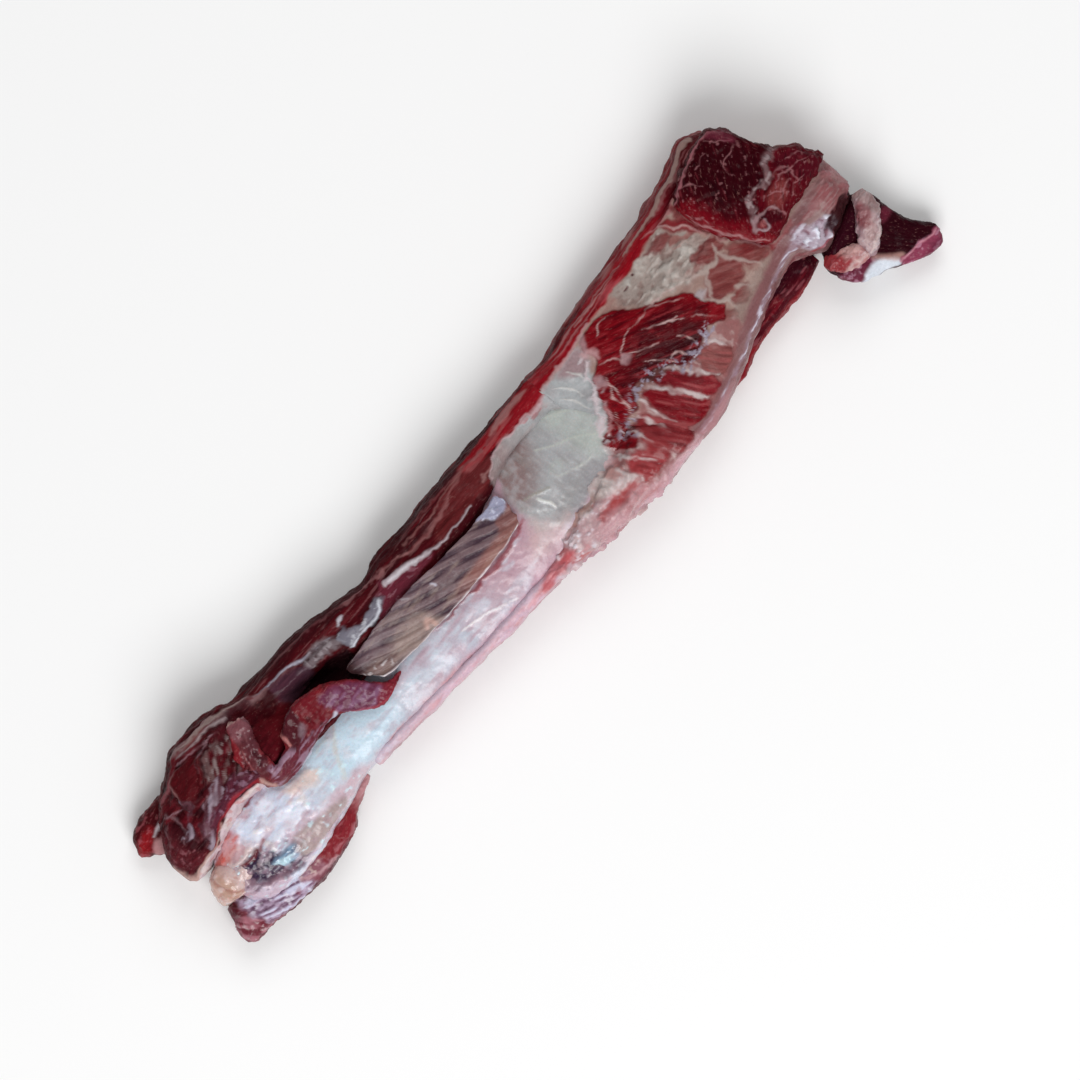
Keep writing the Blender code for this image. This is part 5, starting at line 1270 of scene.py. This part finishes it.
curl.stroke([(-119, 39.6), (-115.6, 38.4), (-111, 36.6)], 1.6, (196, 158, 152), 0.8, soft=0.6, ragged=1.2,
    lean=0)
curl.stroke([(-126.4, 18), (-127, 23), (-124.6, 28.6), (-120.6, 34)], (2, 3, 2.4, 1.2), (134, 36, 44), 0.85,
    soft=0.6, ragged=1.3, lean=0.9, rise=0.5)
curl.stroke([(-118.6, 18), (-116.6, 24), (-112.6, 30), (-110.6, 36)], (1, 1.6, 1.2), (140, 40, 48), 0.8,
    soft=0.6, ragged=1.3, lean=0.9, rise=0.4)
curl.lay(curl.area([(-124, 18), (-120, 34), (-113, 36), (-118, 20)], 1, 1.4)
    * curl.spots((1.6, 3, 3), 0.35, 139) * 0.7, (58, 20, 26), rise=-0.3)
# Painted highlight: a thin pale rim along the upright limb's outer face.
curl.stroke([(-124.2, 20), (-123.6, 25), (-121.6, 29)], 0.4, (164, 96, 98), 0.5, soft=0.3, ragged=0.6,
    rise=0.2)
curl.stroke([(-125.6, 17), (-123.4, 12.6), (-119.6, 11.6)], 1.8, (196, 158, 150), 0.75, soft=0.8, ragged=1.2,
    lean=0)
ragged_end = curl.area([(-121, 17.6), (-112, 18), (-103, 15), (-96, 13.5), (-92, 11), (-104, 8), (-121, 8)],
    1.0, 1.4)
curl.lay(ragged_end * 0.8, (96, 40, 54), lean=0.6)
curl.lay(ragged_end * curl.streaks((5, 0.7, 0.8), 133, 0.05, 0.4) * 0.7, (158, 128, 148), lean=0.1, rise=0.25)
curl.stroke([(-112, 10), (-104, 10.6), (-96, 11.4), (-91, 12.6)], 1, (206, 210, 226), 0.8, soft=0.4,
    ragged=0.8, lean=0)
curl.lay(curl.area([(-111, 16), (-108, 22), (-102, 27), (-100, 20), (-104, 15)], 1.2, 1.4) * 0.6,
    (64, 24, 30), lean=0.4)
curl.patch([(-101, 27), (-92, 26), (-90, 19), (-94, 13), (-101, 15), (-104, 19)], (102, 22, 32), 0.85,
    soft=1.2, ragged=1.4)
curl.lay(curl.area([(-103, 27), (-91, 25), (-91, 13), (-104, 15)], 1) * curl.streaks((2, 5, 2), 138, 0.1, 0.5)
    * 0.6, (58, 12, 20), rise=-0.25)
curl.patch([(-110, 17), (-108, 22), (-103, 26.6), (-99, 27), (-101, 21), (-104, 16)], (74, 28, 36), 0.9,
    soft=1, ragged=1.4, lean=0.2, film=0.7)
curl.patch([(-105, 16.6), (-102, 19.4), (-101, 18), (-103, 15.8)], (150, 130, 140), 0.5, soft=0.8, lean=0,
    film=1)
curl.stroke([(-109.4, 18), (-107.6, 22.6), (-104, 26.4), (-99, 28), (-94, 26)], (1, 1.6, 1.4, 0.8),
    (172, 108, 106), 0.85, soft=0.5, ragged=1.2, lean=0.1, rise=0.5)
curl.patch([(-91, 20), (-82, 18), (-77, 12), (-72, 5), (-76, 0), (-83, 3), (-89, 10)], (100, 50, 76), 0.85,
    soft=1.2, ragged=1.2, lean=0.6, film=0.6)
curl.lay(curl.area([(-91, 19), (-77, 12), (-74, 4), (-83, 3), (-90, 10)], 1.2)
    * curl.streaks((4, 1.1, 1.4), 134, 0, 0.5) * 0.5, (146, 110, 140), lean=0.2, film=1)
curl.patch([(-79, 4), (-72, 6), (-66, 5), (-72, 0.4), (-78, -1)], (122, 36, 48), 0.8, soft=0.8, ragged=1.2)
curl.stroke([(-88, 9), (-82, 3.6), (-76, 1), (-70, 1.6)], 0.9, (166, 60, 70), 0.6, soft=0.5, ragged=0.9)
curl.rise += 0.55 * rough(curl.place, 2.8, 135) + 0.2 * grit(curl.place, 0.9, 136)
curl_finish = flesh("raw_curl", fibre=0.45, fleck=0.25, mottle=0.45, dry=0.34, wet=0.08, soak=0.03, ridge=0.9,
    shine=0.12)
build("curled_meat_strip", curl, curl_finish, ["curled_strip"])

# The ragged tail of the meaty end: a flat, nearly black muscle with a pale cut rim and a pad of cream fat,
# and the two soft rolls of pink fat and membrane that lie on it.

TAIL_EDGE_LEFT = [(141, -19.5), (137.6, -25), (140.5, -33), (149, -38.6), (157, -43.8), (164, -48),
    (170.6, -49.1)]
TAIL_EDGE_RIGHT = [(163, -14), (167.6, -19.5), (168, -26.5), (169.4, -34), (172, -39), (174, -42.2),
    (173, -46.5)]
TAIL_MIDDLE_Z = [17, 14, 11, 9, 7.6, 6.8, 6]
TAIL_HALF_THICKNESS = [5, 5.6, 5.4, 5.0, 4.6, 4.0, 2.2]
UPRIGHT_ROLL = [(151.2, -32, 16.5, 2.0), (153.6, -29.6, 18.6, 3.6), (157, -26, 20.4, 4.3),
                (160.6, -22.4, 21.6, 4.3), (163.4, -18.6, 22, 3.9), (164.6, -14.6, 21.6, 2.4)]
LOWER_ROLL = [(139.2, -21.4, 17, 2.2), (141, -24.2, 18.4, 3.6), (145, -26.8, 18.8, 4.1),
              (149, -29, 17.8, 3.7), (151.6, -31, 16.2, 1.8)]
ROLL_FLATNESS = 0.85                # height over width

left = finer(TAIL_EDGE_LEFT, 100)
right = finer(TAIL_EDGE_RIGHT, 100)
levels = finer(np.array([TAIL_MIDDLE_Z, TAIL_HALF_THICKNESS]).T, 100)
across = np.column_stack([right - left, np.zeros(len(left))])
width = np.linalg.norm(across, axis=1)
tail_middle = np.column_stack([(left + right) / 2, levels[:, 0]])
tail = Skin(strip(tail_middle, across / width[:, None], width / 2, levels[:, 1], count=150, power=3.6),
    (48, 8, 20), lean=1, grain=-55, unrolled=False)
tail.patch([(152, -30), (166, -27), (170, -35), (174, -43), (170, -45), (158, -41)], (42, 6, 14), 0.7, soft=2)
tail.patch([(137, -29), (141, -29), (150, -31), (151, -35), (146, -36.4), (140, -35)], (112, 42, 64), 0.85,
    soft=0.9, ragged=1.2, rise=0.5)
tail.lay(tail.area([(137, -29), (151, -31), (151, -36), (140, -35)], 1) * tail.spots(1.3, 0.4, 141) * 0.6,
    (184, 140, 160), lean=0, rise=0.4)
tail.patch([(142, -35.4), (150, -34.4), (156, -38.6), (156, -42), (150, -39.6), (144, -37)], (216, 222, 232),
    0.95, soft=0.7, lean=0, film=0.7, rise=0.6)
tail.stroke([(151, -33.4), (155, -38), (158, -40.6)], 1.8, (184, 140, 132), 0.7, soft=0.8, lean=0.1)
tail.patch([(155.6, -40.6), (160, -42), (167, -43.4), (174, -44.6), (173, -52), (156, -52)], (140, 62, 86),
    0.9, soft=0.6, ragged=1.4, lean=0.5, film=0.6)
tail.lay(tail.area([(156, -42), (173, -45), (173, -51), (156, -51)], 1, 1.4)
    * tail.spots((3, 1, 2), 0.35, 144) * 0.7, (186, 132, 154), lean=0.2, rise=0.3)
tail.stroke([(156, -41), (160, -42.6), (166, -43.6), (173, -44.6)], (0.4, 0.8, 0.4), (196, 134, 148), 0.85,
    ragged=1, lean=0, rise=0.2)
tail.lay((1 - ramp(tail.y, -48, -45.6)) * ramp(tail.x, 150, 156) * 0.6, (96, 30, 54))
tail.patch([(160, -26), (168, -25.6), (168, -28), (163, -29)], (112, 40, 58), 0.6, soft=0.8)
tail.rise += 0.5 * rough(tail.place, 3, 142) + 0.14 * grit(tail.grain, (5, 0.8, 0.8), 143)
build("dark_tail", tail, block_finish, ["tail_muscle"])


def roll(path, colour):
    """A soft roll of fat along a path of places and half widths, folded and lumpy."""
    rows = finer(path, 90)
    sides = np.cross(np.gradient(rows[:, :3], axis=0), (0, 0, 1))
    sides /= np.linalg.norm(sides, axis=1)[:, None]
    skin = Skin(strip(rows[:, :3], sides, rows[:, 3], rows[:, 3] * ROLL_FLATNESS, count=96, power=2), colour,
        0, unrolled=False)
    folds = rough(skin.place, (4.2, 3.0, 3.0), 156)
    skin.lay(ramp(folds, 0.1, 0.5) * 0.6, (196, 172, 174), rise=0.9)
    skin.lay(ramp(-folds, 0.1, 0.45) * 0.7, (112, 62, 70), rise=-0.8)
    skin.lay(skin.spots((2.2, 1, 1.4), 0.25, 157) * 0.6, (208, 192, 196), rise=0.3)
    skin.rise += 0.3 * grit(skin.place, 1.4, 158)
    return skin


upright = roll(UPRIGHT_ROLL, (156, 126, 132))
upright.patch([(154, -31), (160, -28), (162, -25), (158, -23), (153, -27)], (188, 160, 158), 0.6, soft=1.5,
    ragged=1.5)
upright.patch([(155, -22), (160, -17), (163, -20), (159, -26)], (122, 48, 54), 0.75, soft=1.2, ragged=1.6,
    lean=0.7)
upright.patch([(162, -13), (168, -16), (169, -26), (163, -25)], (150, 124, 122), 0.75, soft=1.4, ragged=1.4)
upright.stroke([(151, -31.6), (155, -31), (159, -29.6), (162, -27)], (0.6, 1.2, 0.6), (206, 186, 184), 0.8,
    soft=0.6, ragged=1.2, film=1)
build("upright_fat_roll", upright, fat_finish, ["upright_roll"])

lower = roll(LOWER_ROLL, (176, 120, 120))
lower.patch([(136, -18), (143, -20), (145, -24), (144, -30), (138, -30)], (140, 26, 36), 0.9, soft=1.6,
    ragged=2, lean=0.9)
lower.patch([(144, -22), (150, -24), (149, -28), (144, -27)], (202, 158, 154), 0.7, soft=1.4, ragged=1.6)
lower.stroke([(141, -29.4), (146, -30.4), (151, -32)], 1.4, (206, 178, 176), 0.8, soft=0.7, ragged=1.2,
    film=1)
build("lower_fat_roll", lower, fat_finish, ["lower_roll"])

# The scraps round the joint end: raw maroon meat along its right side, the smooth tan gristle at its tip,
# and a bright wet scrap that lies against the lobe.

END_MEAT = [(-173.6, -14.5, -11, 5, 9), (-171.5, -16.2, -7.5, 3, 12), (-167, -16.9, -1, 2, 14),
    (-161, -18, -2, 1, 15.5), (-152, -19.4, -8, 0.5, 16.5), (-140, -20.9, -9, 0.5, 17),
    (-128, -20.5, -9, 0.5, 16.5), (-119, -18.9, -9, 1, 15), (-113, -15.3, -9, 3, 13),
    (-107, -12.9, -8.5, 5, 12), (-101, -10.8, -8, 7, 11)]
END_CARTILAGE = [(-168.9, 0.5, 3, 9, 13), (-167.3, -0.6, 6.8, 6, 16.5), (-164.5, -1.5, 10.3, 4, 19.5),
    (-160, -3, 11.5, 4, 21.6), (-155.5, -2, 9, 12, 22.8), (-151, 0, 6, 16, 22.6)]
SIDE_MEAT = [(-174.2, 33, 35.5, 4, 7), (-172, 31.5, 39.5, 2, 9.5), (-167.5, 28, 41.9, 0.7, 12),
    (-161, 26, 42.7, 0.5, 13.5), (-154, 26, 42.5, 0.5, 13.5), (-148, 30, 39, 2, 11)]
end = Skin(bar(END_MEAT, np.arange(-173.6, -101, 0.4), count=110, power=3), (132, 74, 86), lean=0.5, grain=20)
tip_meat = end.area([(-176, -12), (-168, 1), (-163, -2), (-162, -9), (-164, -14), (-158, -21), (-176, -20)],
    1.2, 1.6)
end.lay(tip_meat, (108, 40, 52), lean=0.9)
end.lay_grain(tip_meat, -58)
end.lay(tip_meat * ramp(grit(end.grain, (6, 1, 2), 161), 0, 0.4) * 0.8, (172, 112, 124), lean=0.2, rise=0.4)
end.lay(tip_meat * end.spots(1.3, 0.2, 168) * 0.7, (196, 168, 172), lean=0, rise=0.3)
end.patch([(-171, -4), (-168, 0), (-165, -2), (-166, -5), (-169, -8)], (66, 20, 28), 0.6, soft=1.4,
    ragged=1.4)
weave = end.area([(-164, -1), (-153, -5), (-142, -11), (-142, -20), (-158, -18), (-165, -11)], 1.6, 2.0)
end.lay(weave, (172, 150, 174), lean=0, rise=0.3)
end.lay_grain(weave, -24)
threads = grit(end.grain, (6, 0.9, 1.6), 165)
end.lay(weave * ramp(threads, 0.1, 0.45) * 0.75, (92, 52, 78), rise=-0.35)
end.lay(weave * end.spots(1.2, 0.25, 162) * 0.7, (98, 66, 90), rise=-0.3)
end.lay(weave * ramp(-threads, 0, 0.4) * 0.85, (204, 204, 226), rise=0.3)
end.lay(weave * end.spots(1.6, 0.2, 169) * 0.7, (216, 208, 222), rise=0.3)
end.lay(weave * end.clouds(4, 170, 0.2, 0.6) * 0.5, (140, 60, 76))
end.patch([(-142, -9), (-128, -9), (-125, -15), (-134, -19.5), (-143, -18)], (142, 92, 104), 0.8, soft=1.4,
    ragged=2.4, lean=0.1)
end.lay(end.area([(-142, -9), (-128, -9), (-125, -15), (-142, -18)], 1) * end.spots(1.6, 0.35, 173) * 0.6,
    (208, 184, 178), lean=0, rise=0.3)
red_side = end.patch([(-134, -13), (-120, -11), (-100, -9), (-100, -15), (-117, -20), (-131, -20)],
    (130, 30, 38), 0.9, soft=1.4, ragged=1.8, lean=0.8)
end.lay(red_side * end.streaks((7, 1.2, 2), 174, 0.25, 0.6) * 0.6, (176, 110, 118), lean=0.4, rise=0.2)
end.lay(red_side * ramp(end.x, -116, -106) * 0.7, (196, 150, 154), lean=0.1)
end.stroke([(-144, -15), (-138, -18.6), (-130, -19.6)], 1.2, (200, 160, 166), 0.6, ragged=1)
end.lay((1 - ramp(end.y, -21, -18.8)) * (1 - ramp(end.x, -120, -112)) * 0.75, (76, 26, 36), lean=0.8)
end.rise += 0.6 * rough(end.place, 2.8, 163) + 0.25 * grit(end.place, 1.0, 164)
build("raw_meat_at_joint", end, curl_finish, ["end_meat"])

TIP_SINK = 1.3                      # mm, how far its right end sinks into the bone's skin
tip_rings = bar(END_CARTILAGE, np.linspace(-168.9, -151, 60), count=90, power=3.0)
tip_rings[:, :, 2] -= TIP_SINK * ramp(tip_rings[:, :, 0], -161, -156)
tip = Skin(tip_rings, (196, 160, 148), lean=0)
tip.patch([(-168, -2), (-162, -3), (-159, 2), (-161, 7), (-164, 6), (-167, 3)], (186, 150, 134), 0.7,
    soft=1.6, film=1)
tip.lay(ramp(tip.x, -162, -157) * 0.9, (204, 178, 176))
tip.stroke([(-163.6, 9), (-164, 6), (-162.6, 2), (-159.6, -2)], 0.9, (150, 92, 82), 0.6, soft=0.6, ragged=1.2,
    rise=-0.4)
tip.stroke([(-167, 0), (-163, -2.4), (-159, -3.4)], 1.2, (220, 196, 194), 0.8, ragged=1, rise=0.2)
tip.lay(tip.spots(2.2, 0.3, 166) * 0.6, (214, 190, 188), rise=0.3)
tip.lay(tip.spots(1.4, 0.15, 175) * 0.5, (176, 116, 106))
tip.rise += 0.5 * rough(tip.place, 3, 167)
tip_finish = flesh("tan_gristle", mottle=0.25, dry=0.26, wet=0.6, soak=0.12, ridge=0.3)
build("gristle_tip", tip, tip_finish, ["end_cartilage"])

scrap = Skin(bar(SIDE_MEAT, np.linspace(-174.2, -148, 60), count=84, power=3), (70, 14, 20), lean=1, grain=12)
scrap.patch([(-176, 33), (-172, 37), (-165, 37.6), (-163, 35), (-168, 33), (-174, 31)], (140, 26, 32), 0.85,
    soft=1.4, ragged=1.8, film=0.9)
# Painted highlights: pinkish spots over the wet scrap.
scrap.lay(scrap.spots((2.6, 1.1, 1.4), 0.3, 171) * 0.5, (160, 84, 92), rise=0.2)
scrap.patch([(-170, 31), (-166, 33), (-163, 30), (-166, 26), (-170, 28)], (180, 132, 134), 0.8, soft=0.9,
    ragged=1.4, lean=0)
scrap.stroke([(-165, 34.4), (-160, 35.6), (-154, 34.6)], (0.8, 2, 1.8), (188, 178, 184), 0.9, soft=0.5,
    lean=0, rise=0.5)
scrap.rise += 0.6 * rough(scrap.place, 3, 172) + 0.2 * grit(scrap.place, 1.1, 176)
build("wet_scrap_at_lobe", scrap, block_finish, ["side_meat"])

# Where it lies and how it is seen: a plain pale table under soft light from the joint end's side, with the
# eye straight above, turned so that the rib runs up to the right.

TABLE_SIZE = 3.0
TABLE_GREY = 0.93
ROOM_LIGHT = 0.30
EYE_HEIGHT = 2.1                    # metres
SPAN = 0.378                        # what the picture takes in from side to side
EYE_OVER = (0.0007, -0.0049)
TURN = -51.0                        # degrees
AIM_LEVEL = 0.015                   # the level at which SPAN holds
TABLE_DROP = 0.0003
FILM_WIDTH = 36                     # mm

table_mesh = bpy.data.meshes.new("table")
half = TABLE_SIZE / 2
table_mesh.from_pydata([(-half, -half, 0), (half, -half, 0), (half, half, 0), (-half, half, 0)], [],
    [(0, 1, 2, 3)])
table = bpy.data.objects.new("table", table_mesh)
table.location.z = -TABLE_DROP
bpy.context.scene.collection.objects.link(table)
pale = bpy.data.materials.new("pale_table")
pale.use_nodes = True
coat = pale.node_tree.nodes["Principled BSDF"]
coat.inputs["Base Color"].default_value = (TABLE_GREY, TABLE_GREY, TABLE_GREY, 1)
coat.inputs["Roughness"].default_value = 0.9
table_mesh.materials.append(pale)

lens = bpy.data.cameras.new("eye")
lens.sensor_width = FILM_WIDTH
lens.lens = FILM_WIDTH * (EYE_HEIGHT - AIM_LEVEL) / SPAN
lens.clip_end = 20
eye = bpy.data.objects.new("eye", lens)
eye.location = (*EYE_OVER, EYE_HEIGHT)
eye.rotation_euler = (0, 0, math.radians(TURN))
bpy.context.scene.collection.objects.link(eye)
bpy.context.scene.camera = eye


def lamp(name, place, size, power, mirrored):
    """A square of soft light that looks at the rib, seen or not seen in wet surfaces."""
    light = bpy.data.lights.new(name, "AREA")
    light.shape = "SQUARE"
    light.size = size
    light.energy = power
    thing = bpy.data.objects.new(name, light)
    thing.visible_glossy = mirrored
    thing.location = place
    thing.rotation_euler = (-Vector(place)).to_track_quat("-Z", "Y").to_euler()
    bpy.context.scene.collection.objects.link(thing)


lamp("window_light", (-0.9, -1.2, 1.8), 1.6, 43, True)
lamp("far_wall_light", (1.3, 1.0, 1.8), 1.6, 19, False)
room = bpy.data.worlds.new("room")
room.use_nodes = True
room.node_tree.nodes["Background"].inputs["Color"].default_value = (1, 1, 1, 1)
room.node_tree.nodes["Background"].inputs["Strength"].default_value = ROOM_LIGHT
room.cycles_visibility.glossy = False
bpy.context.scene.world = room
bpy.context.scene.view_settings.view_transform = "Standard"
